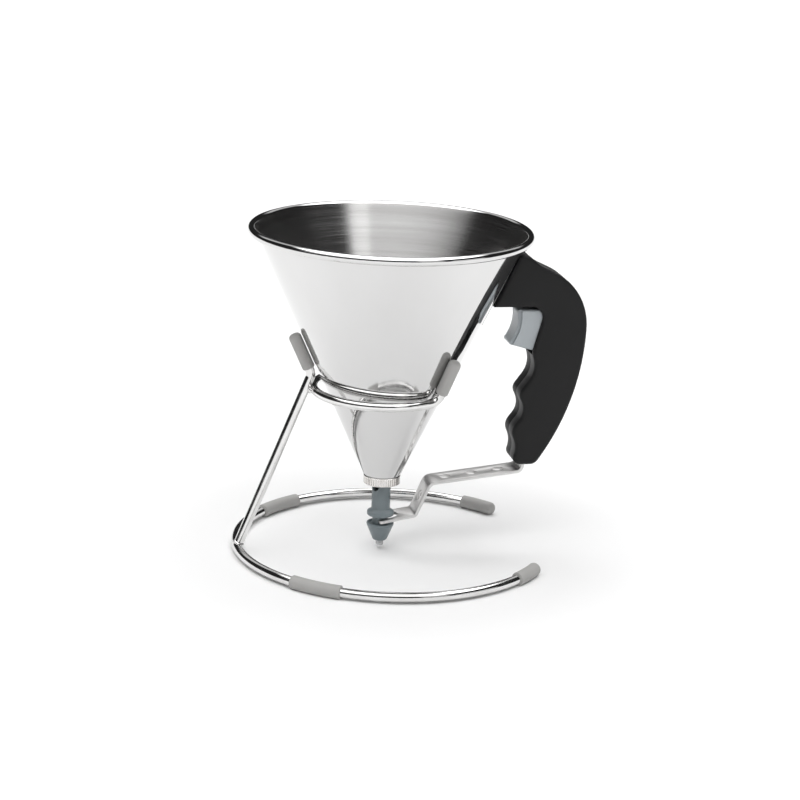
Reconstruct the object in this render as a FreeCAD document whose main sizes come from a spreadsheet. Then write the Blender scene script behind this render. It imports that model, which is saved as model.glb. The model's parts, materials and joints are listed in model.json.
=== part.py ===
import FreeCAD, Part
import math
import os
import Sketcher

# Batter dispensing funnel with a trigger handle, on its wire stand. Millimetres, +Z up.
# The table is Z = 0. Every piece is drawn about the funnel's own upright axis, with the handle
# towards +X, and is then placed so that the frame's origin is the centre of the footprint.

Vector = FreeCAD.Vector
UP = Vector(0, 0, 1)

doc = FreeCAD.newDocument("BatterDispenser")
parts = []


# Driving dimensions

DIMENSIONS = [
    ("rim_diameter", 145.0, "over the rolled rim"),
    ("rim_roll", 4.3, "thickness of the rolled rim"),
    ("rim_height", 169.0, "centre of the rolled rim above the table"),
    ("cone_wall", 0.8, "sheet of the cone"),
    ("cone_lip", 1.9, "cone's lower end outside the spigot's thread"),

    ("outlet_height", 2.0, "mouth of the nozzle above the table"),
    ("tip_length", 3.0, "clear tip that shows below the nozzle"),
    ("tip_diameter", 3.9, "clear tip"),
    ("tip_bore", 2.6, "batter passage in the tip"),
    ("tip_depth", 3.0, "clear tip inside the nozzle"),
    ("nozzle_length", 9.4, "conical nozzle"),
    ("nozzle_lip", 2.25, "top of the nozzle, out from the tube"),
    ("nozzle_bottom", 6.8, "nozzle diameter at the bottom"),
    ("nozzle_foot_ease", 0.5, "chamfer round the foot of the nozzle"),
    ("nozzle_band", 1.0, "straight band round the top of the nozzle"),
    ("nozzle_ease", 0.3, "chamfer over that band"),
    ("nozzle_rim", 1.1, "rim round the dished top of the nozzle"),
    ("nozzle_dish", 0.7, "depth of that dish"),
    ("tip_ease", 0.25, "chamfer round the clear tip"),
    ("groove_height", 4.2, "groove for the fork"),
    ("neck_cut", 0.65, "neck in the groove, below the tube's surface"),
    ("neck_depth", 4.9, "neck inside the nozzle"),
    ("flange_lip", 2.2, "flange above the groove, out from the tube"),
    ("flange_height", 2.2, "rim of that flange"),
    ("flange_ease", 0.4, "chamfers of that flange"),
    ("shoulder_height", 1.4, "conical top of that flange"),
    ("tube_diameter", 9.7, "sliding valve tube"),
    ("tube_wall", 1.35, "wall round the batter passage"),
    ("tube_show", 15.4, "flange rim to the ring nut"),
    ("tube_head", 5.5, "closed end above the windows"),
    ("tube_head_ease", 1.5, "chamfer of that end"),
    ("drill_tip", 1.0, "cone that the drill leaves at the end of the passage"),
    ("window_width", 5.0, "window across the tube"),
    ("window_height", 8.0, "window along the tube"),
    ("window_drop", 3.9, "window below the underside of the ring nut"),
    ("window_turn", 33.0, "degrees from +X to the middle of a window"),

    ("nut_wall", 1.8, "ring nut outside its thread"),
    ("nut_height", 4.6, "ring nut"),
    ("nut_lip", 1.2, "floor of the ring nut"),
    ("nut_lip_gap", 0.95, "hole in that floor, out from the tube"),
    ("nut_gap", 0.5, "ring nut to the cone"),
    ("knurl_count", 48, "flutes round the ring nut"),
    ("knurl_depth", 0.35, "depth of a flute"),
    ("spigot_wall", 1.3, "spigot that takes the ring nut, outside the bush"),
    ("collar_height", 3.2, "collar inside the cone"),
    ("collar_lip", 1.1, "lip over the seal ring"),
    ("bush_wall", 1.65, "guide bush"),
    ("bush_flange", 1.0, "flange of the guide bush"),
    ("seal_height", 1.4, "seal ring"),

    ("strip_thickness", 1.5, "lever strip"),
    ("strip_width", 14.4, "lever strip"),
    ("arm_width", 9.0, "lever strip inside the grip"),
    ("fork_tip_x", -1.6, "end of the fork"),
    ("fork_tip_z", 16.15, "end of the fork"),
    ("fork_slot_run", 4.6, "funnel axis to the round end of the slot in the fork"),
    ("bend_low_x", 17.3, "first bend"),
    ("bend_low_z", 19.6, "first bend"),
    ("bend_mid_x", 24.5, "second bend"),
    ("bend_mid_z", 36.8, "second bend"),
    ("bend_end_inset", 30.2, "bend up into the grip, from the back of the grip"),
    ("bend_end_drop", 3.8, "bend up into the grip, below the grip"),
    ("arm_top_inset", 21.8, "top of the arm, from the back of the grip"),
    ("arm_top_drop", 3.2, "top of the arm, below the top of the trigger"),
    ("arm_shoulder_rise", 2.0, "where the strip narrows to the arm, above the foot of the grip"),
    ("bend_radius", 1.6, "inside of each bend"),
    ("hole_diameter", 5.6, "holes in the strip"),
    ("hole_first_x", 33.6, "first hole on the flat stretch"),
    ("hole_pitch", 14.0, "holes on the flat stretch"),
    ("slope_hole_z", 28.4, "hole in the sloping stretch"),

    ("pivot_rise", 6.4, "lever pivot above the foot of the grip"),
    ("pin_diameter", 3.2, "lever pivot pin"),
    ("pin_length", 15.6, "lever pivot pin"),
    ("eye_wall", 1.2, "eye welded to the arm"),
    ("trigger_swing", 6.5, "degrees that the lever turns"),

    ("grip_thickness", 18.0, "both handle shells together"),
    ("grip_edge", 1.8, "rounding of the handle's edges"),
    ("head_drop", 38.0, "underside of the handle's head below the rim"),
    ("head_height", 27.6, "handle's head where it meets the cone"),
    ("handle_depth", 49.89, "front of the head to the back of the grip"),
    ("grip_length", 84.4, "grip below the head"),
    ("guard_length", 24.0, "front of the grip behind the trigger, above the finger grooves"),
    ("groove_inset", 36.8, "front of the grip's foot to its back"),
    ("foot_inset", 23.7, "back of the grip's foot to the furthest point of the back"),
    ("back_drop", 11.0, "furthest point of the back below the head"),
    ("shoulder_inset", 18.7, "shoulder to the furthest point of the back"),
    ("shoulder_rise", 18.1, "shoulder above the underside of the head"),
    ("shoulder_run", 7.5, "straight stretch over the shoulder"),
    ("screw_diameter", 3.0, "handle screws"),
    ("screw_head", 5.6, "handle screws"),
    ("screw_head_height", 2.0, "handle screws"),
    ("screw_length", 13.0, "handle screws under the head"),
    ("bracket_thickness", 1.5, "bracket strip on the cone"),
    ("bracket_half_angle", 8.0, "degrees of cone that the bracket covers each side"),
    ("bracket_below", 9.7, "bracket that shows below the head"),
    ("bracket_above", 2.4, "bracket that shows above the head"),
    ("tang_thickness", 3.0, "plate inside the handle's head"),
    ("tang_margin_low", 3.0, "handle under the plate"),
    ("tang_margin_high", 5.0, "handle above the plate"),
    ("tang_inset", 30.0, "plate to the back of the grip"),
    ("tang_slope", 6.0, "slope of the plate's upper corner"),

    ("trigger_width", 13.0, "trigger"),
    ("trigger_drop", 1.8, "top of the trigger below the handle's head"),
    ("trigger_edge", 1.2, "rounding of the trigger's front edges"),
    ("rivet_diameter", 3.0, "trigger rivet"),
    ("rivet_head", 5.4, "trigger rivet"),
    ("rivet_drop", 8.2, "trigger rivet below the top of the trigger"),
    ("rivet_depth", 5.5, "trigger rivet in front of the arm"),
    ("spring_drop", 17.2, "return spring below the top of the trigger"),
    ("spring_diameter", 7.0, "return spring, outside"),
    ("spring_wire", 0.9, "return spring"),
    ("spring_turns", 6.0, "return spring"),
    ("spring_back_inset", 5.2, "wall behind the return spring"),
    ("bay_low_drop", 25.6, "floor of the trigger's bay below the handle's head"),
    ("mouth_front", 1.6, "room in front of the arm where it leaves the grip"),
    ("mouth_back", 1.0, "room behind the arm where it leaves the grip"),
    ("channel_front", 1.1, "room in front of the arm at the foot of its channel"),

    ("base_radius", 81.0, "base ring, to the middle of its wire"),
    ("base_shift", 6.0, "centre of the base ring towards the handle"),
    ("base_wire", 5.0, "wire of the base ring and leg"),
    ("sleeve_wall", 1.0, "rubber on the base ring"),
    ("sleeve_flat", 0.2, "flat that the rubber rests on"),
    ("base_gap_angle", 35.0, "degrees from +X to the end of a cap"),
    ("cap_length", 20.0, "rubber end caps"),
    ("cap_floor", 2.0, "rubber beyond the end of the wire"),
    ("mid_sleeve_angle", 128.3, "degrees from +X to the middle of a sleeve"),
    ("mid_sleeve_length", 27.4, "rubber sleeves"),
    ("leg_bend_rise", 8.3, "bend in the leg above the cradle ring"),

    ("cradle_height", 87.0, "cradle ring above the table"),
    ("cradle_wire", 4.8, "wire of the cradle ring"),
    ("cradle_bend", 5.0, "bend up into a prong"),
    ("cradle_straight", 6.5, "straight run of the ring before that bend"),
    ("weld_sink", 0.3, "leg and cradle ring run together where they are welded"),
    ("prong_angle", 52.0, "degrees from +X to a prong"),
    ("prong_sleeve_wall", 0.75, "rubber on the leg's prong"),
    ("prong_sleeve_length", 19.5, "rubber on the prongs"),
    ("prong_sleeve_cap", 1.6, "rubber beyond the end of the wire"),
    ("prong_bare", 1.0, "bare wire between a bend and the rubber"),
    ("rubber_ease", 0.3, "chamfer at the open end of a prong's rubber"),
    ("rubber_rounding", 0.3, "rounding of a closed end, as a share of the rubber's diameter"),

    ("running_gap", 0.05, "radial play of a sliding or turning fit"),
    ("seat_gap", 0.02, "radial play of a fixed fit"),
    ("rest_gap", 0.3, "funnel to the rubber that carries it"),
    ("fork_gap", 0.4, "fork slot to the neck, each side"),
    ("free_gap", 0.4, "moving piece to the wall beside it"),
]


def make_sheet(name, rows):
    sheet = doc.addObject("Spreadsheet::Sheet", name)
    for row, (alias, cell, note) in enumerate(rows, start=1):
        sheet.set("A%d" % row, alias.replace("_", " "))
        sheet.set("B%d" % row, str(cell))
        sheet.set("C%d" % row, note)
        sheet.setAlias("B%d" % row, alias)
    doc.recompute()
    return sheet


dimensions = make_sheet("Dim", DIMENSIONS)

# Values that follow from the driving dimensions

CONE_RUN = "(Dim.rim_diameter / 2 - Dim.rim_roll / 2 - cone_outlet / 2)"
ROLL_INNER = "(Dim.rim_roll / 2 - Dim.cone_wall)"

FOLLOWING = [
    ("tube_bore", "=Dim.tube_diameter - 2 * Dim.tube_wall", "batter passage in the tube"),
    ("neck_diameter", "=Dim.tube_diameter - 2 * Dim.neck_cut", "tube in the groove"),
    ("flange_diameter", "=Dim.tube_diameter + 2 * Dim.flange_lip", "flange above the groove"),
    ("nozzle_top", "=Dim.tube_diameter + 2 * Dim.nozzle_lip", "nozzle at the top"),
    ("bush_diameter", "=Dim.tube_diameter + 2 * Dim.bush_wall", "guide bush"),
    ("thread_diameter", "=bush_diameter + 2 * Dim.spigot_wall", "spigot's thread"),
    ("nut_diameter", "=thread_diameter + 2 * Dim.nut_wall", "ring nut"),
    ("nut_lip_bore", "=Dim.tube_diameter + 2 * Dim.nut_lip_gap", "hole in the nut's floor"),
    ("cone_outlet", "=thread_diameter + 2 * Dim.cone_lip", "cone's lower end"),
    ("nozzle_low", "=Dim.outlet_height + Dim.tip_length", "underside of the nozzle"),
    ("nozzle_high", "=nozzle_low + Dim.nozzle_length", "top of the nozzle"),
    ("flange_low", "=nozzle_high + Dim.groove_height", "underside of the flange"),
    ("flange_high", "=flange_low + Dim.flange_height", "top of the flange rim"),
    ("nut_low", "=flange_high + Dim.tube_show", "underside of the ring nut"),
    ("nut_high", "=nut_low + Dim.nut_height", "top of the ring nut"),
    ("cone_low", "=nut_high + Dim.nut_gap", "lower end of the cone"),
    ("window_low", "=nut_low - Dim.window_drop", "lower end of a window"),
    ("bush_low", "=nut_low + Dim.nut_lip + 2 * Dim.running_gap", "underside of the bush"),
    ("spigot_low", "=bush_low + Dim.bush_flange", "lower end of the spigot"),
    ("collar_high", "=cone_low + Dim.collar_height", "top of the collar"),
    ("seal_high", "=collar_high - Dim.collar_lip", "top of the seal ring"),
    ("seal_low", "=seal_high - Dim.seal_height", "underside of the seal ring"),
    ("cone_angle", "=acos(" + ROLL_INNER + " / sqrt(" + CONE_RUN + "^2 + (Dim.rim_height - cone_low)^2))"
        " - atan((Dim.rim_height - cone_low) / " + CONE_RUN + ")", "half angle of the cone"),
    ("cone_slope", "=tan(cone_angle)", "radius gained per unit of height"),
    ("wall_across", "=Dim.cone_wall / cos(cone_angle)", "cone wall measured level"),
    ("bracket_across", "=Dim.bracket_thickness / cos(cone_angle)", "bracket measured level"),
    ("head_offset", "=bracket_across + Dim.free_gap", "head of the handle to the cone"),
    ("head_low", "=Dim.rim_height - Dim.head_drop", "underside of the handle's head"),
    ("head_high", "=head_low + Dim.head_height", "top of the handle's head"),
    ("bracket_low", "=head_low - Dim.bracket_below", "lower end of the bracket"),
    ("bracket_high", "=head_high + Dim.bracket_above", "upper end of the bracket"),
    ("grip_low", "=head_low - Dim.grip_length", "foot of the grip"),
    ("grip_back", "=cone_outlet / 2 + (head_low - cone_low) * cone_slope + head_offset + Dim.handle_depth",
        "back of the grip"),
    ("grooves", "=Dim.grip_length - Dim.guard_length", "height that the finger grooves share"),
    ("back_low_radius", "=(Dim.foot_inset^2 + (Dim.grip_length - Dim.back_drop)^2) / (2 * Dim.foot_inset)",
        "back of the grip below its furthest point"),
    ("back_high_radius", "=(Dim.shoulder_inset^2 + (Dim.shoulder_rise + Dim.back_drop)^2)"
        " / (2 * Dim.shoulder_inset)", "back of the grip above its furthest point"),
    ("shoulder_climb", "=Dim.shoulder_run * (back_high_radius - Dim.shoulder_inset)"
        " / (Dim.shoulder_rise + Dim.back_drop)", "straight stretch over the shoulder"),
    ("pivot_z", "=grip_low + Dim.pivot_rise", "lever pivot"),
    ("trigger_top", "=head_low - Dim.trigger_drop", "top of the trigger"),
    ("rivet_z", "=trigger_top - Dim.rivet_drop", "trigger rivet"),
    ("spring_z", "=trigger_top - Dim.spring_drop", "return spring"),
    ("spring_back_x", "=grip_back - Dim.spring_back_inset", "wall behind the return spring"),
    ("bay_low", "=head_low - Dim.bay_low_drop", "floor of the trigger's bay"),
    ("eye_diameter", "=Dim.pin_diameter + 2 * Dim.eye_wall", "eye welded to the arm"),
    ("bend_end_x", "=grip_back - Dim.bend_end_inset", "bend up into the grip"),
    ("bend_end_z", "=grip_low - Dim.bend_end_drop", "bend up into the grip"),
    ("arm_top_x", "=grip_back - Dim.arm_top_inset", "top of the arm"),
    ("arm_top_z", "=trigger_top - Dim.arm_top_drop", "top of the arm"),
    ("arm_shoulder_z", "=grip_low + Dim.arm_shoulder_rise", "strip narrows to the arm"),
    ("fork_slot_half", "=neck_diameter / 2 + Dim.fork_gap", "half the slot in the fork"),
    ("fork_slot_end", "=Dim.fork_slot_run + fork_slot_half", "end of the slot in the fork"),
    ("fork_tilt", "=atan2(Dim.bend_low_z - Dim.fork_tip_z; Dim.bend_low_x - Dim.fork_tip_x)", "fork"),
    ("slope_tilt", "=atan2(Dim.bend_mid_z - Dim.bend_low_z; Dim.bend_mid_x - Dim.bend_low_x)", "slope"),
    ("flat_tilt", "=atan2(bend_end_z - Dim.bend_mid_z; bend_end_x - Dim.bend_mid_x)", "flat"),
    ("arm_tilt", "=atan2(arm_top_z - bend_end_z; arm_top_x - bend_end_x)", "arm"),
    ("arm_lean", "=(arm_top_x - bend_end_x) / (arm_top_z - bend_end_z)", "arm"),
    ("arm_half", "=Dim.strip_thickness / 2 / sin(arm_tilt)", "half the arm, measured level"),
    ("pivot_x", "=bend_end_x + (pivot_z - bend_end_z) * arm_lean + arm_half + eye_diameter / 2",
        "lever pivot"),
    ("spring_front_x", "=bend_end_x + (spring_z + Dim.spring_diameter / 2 - bend_end_z)"
        " * arm_lean + arm_half + Dim.rest_gap", "front end of the spring"),
    ("bay_swing", "=(bay_low - pivot_z) * tan(Dim.trigger_swing * 1deg)",
        "way that the arm goes at the floor of the bay"),
    ("sleeve_diameter", "=Dim.base_wire + 2 * Dim.sleeve_wall", "rubber on the base ring"),
    ("prong_sleeve_diameter", "=Dim.base_wire + 2 * Dim.prong_sleeve_wall", "rubber on the prongs"),
    ("base_wire_z", "=sleeve_diameter / 2 - Dim.sleeve_flat", "middle of the base wire"),
    ("axis_x", "=(Dim.base_radius + Dim.base_wire / 2 - Dim.base_shift - grip_back) / 2",
        "funnel axis in the frame"),
]
following = make_sheet("Fit", FOLLOWING)


def number(formula):
    value = dimensions.evalExpression(formula)
    return float(getattr(value, "Value", value))


def cone_radius(z):
    """Formula for the cone's outside radius at the height that a formula gives."""
    return "(Fit.cone_outlet / 2 + (" + z + " - Fit.cone_low) * Fit.cone_slope)"


# Sketches and features

def settle(feature, **formulas):
    for name, formula in formulas.items():
        feature.setExpression(name, formula)
    doc.recompute()
    return feature


def start_body(name):
    body = doc.addObject("PartDesign::Body", name.title().replace("_", ""))
    body.Label = name
    return body


def attach(body, plane):
    sketch = body.newObject("Sketcher::SketchObject", "Sketch")
    support = [f for f in body.Origin.OriginFeatures if f.Role == plane + "_Plane"][0]
    sketch.AttachmentSupport = [(support, "")]
    sketch.MapMode = "FlatFace"
    return sketch


def fix_point(sketch, side, end, x, y):
    """Holds one end of a side at two formulas."""
    axes = (("DistanceX", x, -2), ("DistanceY", y, -1))
    for kind, formula, axis in axes:
        if formula == "0":
            sketch.addConstraint(Sketcher.Constraint("PointOnObject", side, end, axis))
        else:
            row = sketch.addConstraint(
                Sketcher.Constraint(kind, -1, 1, side, end, number(formula)))
            sketch.setExpression("Constraints[%d]" % row, formula)


def outline(body, plane, corners):
    """A closed sketch through corners (x, y), each a formula. A third value is the radius of an
    arc to the next corner: it bulges right of the way round, or left of it if it starts with -."""
    sketch = attach(body, plane)
    spots = [Vector(number(c[0]), number(c[1]), 0) for c in corners]
    sides = []
    for index, corner in enumerate(corners):
        here = spots[index]
        there = spots[(index + 1) % len(spots)]
        if len(corner) == 2:
            side = sketch.addGeometry(Part.LineSegment(here, there))
            sides.append((side, 1, 2))
            continue
        left = corner[2].startswith("-")
        radius = number(corner[2].lstrip("-"))
        chord = there - here
        rise = radius - math.sqrt(radius ** 2 - chord.Length ** 2 / 4)
        across = Vector(chord.y, -chord.x, 0).normalize() * rise
        middle = (here + there) / 2 + (across * -1 if left else across)
        if left:
            side = sketch.addGeometry(Part.Arc(there, middle, here))
            sides.append((side, 2, 1))
        else:
            side = sketch.addGeometry(Part.Arc(here, middle, there))
            sides.append((side, 1, 2))
    for index, (side, start, end) in enumerate(sides):
        following_side = sides[(index + 1) % len(sides)]
        sketch.addConstraint(
            Sketcher.Constraint("Coincident", side, end, following_side[0], following_side[1]))
    for (side, start, end), corner in zip(sides, corners):
        fix_point(sketch, side, start, corner[0], corner[1])
        if len(corner) == 3:
            radius = corner[2].lstrip("-")
            row = sketch.addConstraint(Sketcher.Constraint("Radius", side, number(radius)))
            sketch.setExpression("Constraints[%d]" % row, radius)
    doc.recompute()
    return sketch


def circles(body, plane, centres, radius):
    """A sketch of equal circles at centres (x, y), each a formula."""
    sketch = attach(body, plane)
    for x, y in centres:
        circle = Part.Circle(Vector(number(x), number(y), 0), UP, number(radius))
        side = sketch.addGeometry(circle)
        fix_point(sketch, side, 3, x, y)
        row = sketch.addConstraint(Sketcher.Constraint("Radius", side, number(radius)))
        sketch.setExpression("Constraints[%d]" % row, radius)
    doc.recompute()
    return sketch


def revolve(name, corners):
    """A body turned about the upright axis from its half section."""
    body = start_body(name)
    section = outline(body, "XZ", corners)
    turn = body.newObject("PartDesign::Revolution", "Turned")
    turn.Profile = section
    turn.ReferenceAxis = (section, ["V_Axis"])
    settle(turn)
    return body


def pad(body, sketch, length, both_ways=True, backwards=False):
    feature = body.newObject("PartDesign::Pad", "Pad")
    feature.Profile = sketch
    feature.SideType = "Symmetric" if both_ways else "One side"
    feature.Reversed = backwards
    return settle(feature, Length=length)


def cut(body, sketch, depth=None, backwards=False):
    """A pocket to a depth, or right through both ways. It has to take something away."""
    before = body.Shape.Volume
    feature = body.newObject("PartDesign::Pocket", "Pocket")
    feature.Profile = sketch
    if depth is None:
        feature.SideType = "Symmetric"
        feature.Type = "ThroughAll"
        settle(feature)
    else:
        feature.SideType = "One side"
        feature.Reversed = backwards
        settle(feature, Length=depth)
    if body.Shape.Volume > before - 1e-6:
        raise RuntimeError("a pocket of " + body.Label + " cuts nothing")
    return feature


def round_edges(body, chosen, radius):
    """A fillet on the edges of the body's tip that a test picks."""
    names = ["Edge%d" % (i + 1) for i, edge in enumerate(body.Shape.Edges) if chosen(edge)]
    if not names:
        raise RuntimeError("no edge to round on " + body.Label)
    tip = body.Tip
    feature = body.newObject("PartDesign::Fillet", "Fillet")
    feature.Base = (tip, names)
    settle(feature, Radius=radius)
    if not feature.isValid():
        raise RuntimeError("an edge of " + body.Label + " can't be rounded")
    return feature


def round_corners(body, corners):
    """Fillets along Y at corners (x, z) of a padded side view, each with its own radius."""
    for x, z, radius in corners:
        if radius is None:
            continue
        spot = Vector(number(x), 0, number(z))

        def along_corner(edge):
            return all(math.hypot(v.Point.x - spot.x, v.Point.z - spot.z) < 1e-4 for v in edge.Vertexes)

        round_edges(body, along_corner, radius)


def in_face(level):
    """A test that picks the edges in the two faces at a distance from the XZ plane."""
    def chosen(edge):
        return all(abs(abs(v.Point.y) - level) < 1e-4 for v in edge.Vertexes)
    return chosen


def keep(piece, turn=None):
    """Places a piece about the funnel's axis and puts it on the list to be written."""
    piece.Placement = FreeCAD.Placement(Vector(number("Fit.axis_x"), 0, 0), turn or FreeCAD.Rotation())
    piece.setExpression("Placement.Base.x", "Fit.axis_x")
    parts.append(piece)
    return piece


def feature_of(name, shape):
    piece = doc.addObject("Part::Feature", name.title().replace("_", ""))
    piece.Label = name
    piece.Shape = shape
    return piece


# Funnel

def funnel_cone():
    """Spun cone with its rim rolled outwards. The roll is open underneath, against the wall."""
    roll_x = "(Dim.rim_diameter / 2 - Dim.rim_roll / 2)"
    outer = "(Dim.rim_roll / 2)"
    start_angle = "(180deg - Fit.cone_angle)"
    end_angle = "-125deg"

    def on_roll(radius, angle):
        return (roll_x + " + " + radius + " * cos(" + angle + ")",
                "Dim.rim_height + " + radius + " * sin(" + angle + ")")

    top_angle = "60deg"
    side_angle = "-40deg"
    return keep(revolve("funnel_cone", [
        ("Fit.cone_outlet / 2 - Fit.wall_across", "Fit.cone_low"),
        ("Fit.cone_outlet / 2", "Fit.cone_low"),
        on_roll(ROLL_INNER, "(180deg - Fit.cone_angle)") + ("-" + ROLL_INNER,),
        on_roll(ROLL_INNER, top_angle) + ("-" + ROLL_INNER,),
        on_roll(ROLL_INNER, side_angle) + ("-" + ROLL_INNER,),
        on_roll(ROLL_INNER, end_angle),
        on_roll(outer, end_angle) + (outer,),
        on_roll(outer, side_angle) + (outer,),
        on_roll(outer, top_angle) + (outer,),
        on_roll(outer, start_angle),
    ]))


def outlet_collar():
    """Turned collar welded in the cone's lower end, with the spigot that takes the ring nut."""
    inside_low = "Fit.cone_outlet / 2 - Fit.wall_across - Dim.seat_gap"
    inside_high = cone_radius("Fit.collar_high") + " - Fit.wall_across - Dim.seat_gap"
    spigot = "Fit.thread_diameter / 2"
    bush = "Fit.bush_diameter / 2"
    lip = "Dim.tube_diameter / 2 + Dim.free_gap"
    return keep(revolve("outlet_collar", [
        (bush, "Fit.spigot_low"),
        (spigot, "Fit.spigot_low"),
        (spigot, "Fit.cone_low"),
        (inside_low, "Fit.cone_low"),
        (inside_high, "Fit.collar_high"),
        (bush + " + Dim.collar_lip", "Fit.collar_high"),
        (lip, "Fit.collar_high - Dim.collar_lip / 2"),
        (lip, "Fit.seal_high"),
        (bush, "Fit.seal_high"),
    ]))


def guide_bush():
    bore = "Dim.tube_diameter / 2 + Dim.running_gap"
    outside = "Fit.bush_diameter / 2 - Dim.seat_gap"
    flange = "Fit.thread_diameter / 2 - Dim.free_gap"
    return keep(revolve("guide_bush", [
        (bore, "Fit.bush_low"),
        (flange, "Fit.bush_low"),
        (flange, "Fit.spigot_low"),
        (outside, "Fit.spigot_low"),
        (outside, "Fit.seal_low"),
        (bore, "Fit.seal_low"),
    ]))


def seal_ring():
    """Soft ring trapped between the bush and the collar's lip, rounded where the tube slides."""
    bore = "Dim.tube_diameter / 2 + Dim.running_gap"
    outside = "Fit.bush_diameter / 2 - Dim.seat_gap"
    ease = "Dim.seal_height / 4"
    return keep(revolve("seal_ring", [
        (bore + " + " + ease, "Fit.seal_low"),
        (outside, "Fit.seal_low"),
        (outside, "Fit.seal_high"),
        (bore + " + " + ease, "Fit.seal_high"),
        (bore, "Fit.seal_high - " + ease),
        (bore, "Fit.seal_low + " + ease),
    ]))


def ring_nut():
    """Union nut with a lip that holds the bush up, fluted round its edge."""
    outside = "Fit.nut_diameter / 2"
    lip = "Fit.nut_lip_bore / 2"
    thread = "Fit.thread_diameter / 2 + Dim.running_gap"
    ease = "Dim.knurl_depth"
    body = revolve("ring_nut", [
        (lip, "Fit.nut_low"),
        (outside + " - " + ease, "Fit.nut_low"),
        (outside, "Fit.nut_low + " + ease),
        (outside, "Fit.nut_high - " + ease),
        (outside + " - " + ease, "Fit.nut_high"),
        (thread, "Fit.nut_high"),
        (thread, "Fit.nut_low + Dim.nut_lip"),
        (lip, "Fit.nut_low + Dim.nut_lip"),
    ])
    flute = cut(body, outline(body, "XY", [
        (outside + " - Dim.knurl_depth", "0"),
        (outside + " + Dim.knurl_depth", "-2 * Dim.knurl_depth"),
        (outside + " + Dim.knurl_depth", "2 * Dim.knurl_depth"),
    ]))
    ring = body.newObject("PartDesign::PolarPattern", "Flutes")
    ring.Originals = [flute]
    ring.Axis = (body.Origin.OriginFeatures[2], [""])
    ring.Angle = 360
    body.Tip = ring
    settle(ring, Occurrences="Dim.knurl_count")
    return keep(body)


def tang_outline(gap, start):
    """Side view of the plate in the handle's head, grown by a gap. It starts in the bracket strip."""
    low = "(Fit.head_low + Dim.tang_margin_low - " + gap + ")"
    high = "(Fit.head_high - Dim.tang_margin_high + " + gap + ")"
    back = "Fit.grip_back - Dim.tang_inset + " + gap
    slope = " + Fit.bracket_across + Dim.tang_margin_high + " + gap
    return [
        (cone_radius(low) + " + " + start, low),
        (back, low),
        (back, high + " - Dim.tang_slope"),
        (cone_radius(high) + slope, high),
        (cone_radius(high) + " + " + start, high),
    ]


def handle_bracket():
    """Curved strip welded on the cone, with the plate that the handle's head is screwed to."""
    body = start_body("handle_bracket")
    low, high = "Fit.bracket_low", "Fit.bracket_high"
    section = outline(body, "XZ", [
        (cone_radius(low) + " + Dim.seat_gap", low),
        (cone_radius(low) + " + Fit.bracket_across", low),
        (cone_radius(high) + " + Fit.bracket_across", high),
        (cone_radius(high) + " + Dim.seat_gap", high),
    ])
    strip = body.newObject("PartDesign::Revolution", "Strip")
    strip.Profile = section
    strip.ReferenceAxis = (section, ["V_Axis"])
    strip.Midplane = True
    settle(strip, Angle="2 * Dim.bracket_half_angle")
    pad(body, outline(body, "XZ", tang_outline("0", "Fit.bracket_across / 2")), "Dim.tang_thickness")
    cut(body, circles(body, "XZ", HEAD_SCREWS, "Dim.screw_diameter / 2 + Dim.running_gap"))
    return keep(body)


# Handle

BACK = "Fit.grip_back"
HEAD_SCREWS = [(BACK + " - 38.5", "Fit.head_low + 7"), (BACK + " - 34.0", "Fit.head_low + 16")]
GRIP_SCREWS = [(BACK + " - 8.7", "Fit.bay_low - 11.4"), (BACK + " - 19.2", "Fit.pivot_z + 13")]


def head_front(z):
    return cone_radius(z) + " + Fit.head_offset"


def groove(across, up, radius):
    """A corner of the finger grooves, as shares of the height that they take."""
    return (BACK + " - Dim.groove_inset + %r * Fit.grooves" % across, "Fit.grip_low + %r * Fit.grooves" % up,
            "%r * Fit.grooves" % radius)


# The handle's side view: corners (x, z), with the rounding of each corner. Its back is two arcs
# that meet upright at the furthest point, and the upper one runs on straight over the shoulder.

HANDLE_CORNERS = [
    (head_front("Fit.head_low"), "Fit.head_low", "2.4"),
    (BACK + " - 22.0", "Fit.head_low", "6.0"),
    (BACK + " - 28.3", "Fit.head_low - Dim.guard_length", "2.4"),
    groove(0.182, 0.8345, 0.215),
    groove(0.0365, 0.6325, 0.083),
    groove(0.1125, 0.477, 0.157),
    groove(-0.0165, 0.308, 0.116),
    groove(0.0465, 0.1605, 0.199),
    groove(0.0, 0.0, 0.066),
    (BACK + " - Dim.foot_inset", "Fit.grip_low", "5.0"),
    (BACK, "Fit.head_low - Dim.back_drop", None),
    (BACK + " - Dim.shoulder_inset", "Fit.head_low + Dim.shoulder_rise", None),
    (BACK + " - Dim.shoulder_inset - Dim.shoulder_run",
        "Fit.head_low + Dim.shoulder_rise + Fit.shoulder_climb", "12.0"),
    (BACK + " - 32.3", "Fit.head_high - 1.0", "8.0"),
    (head_front("Fit.head_high"), "Fit.head_high", "2.4"),
]
HANDLE_ARCS = {9: "Fit.back_low_radius", 10: "Fit.back_high_radius"}


def lever_x(z, side="0"):
    """Level place of the arm's middle at a height, moved by a formula."""
    return "Fit.bend_end_x + (" + z + " - Fit.bend_end_z) * Fit.arm_lean + " + side


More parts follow.
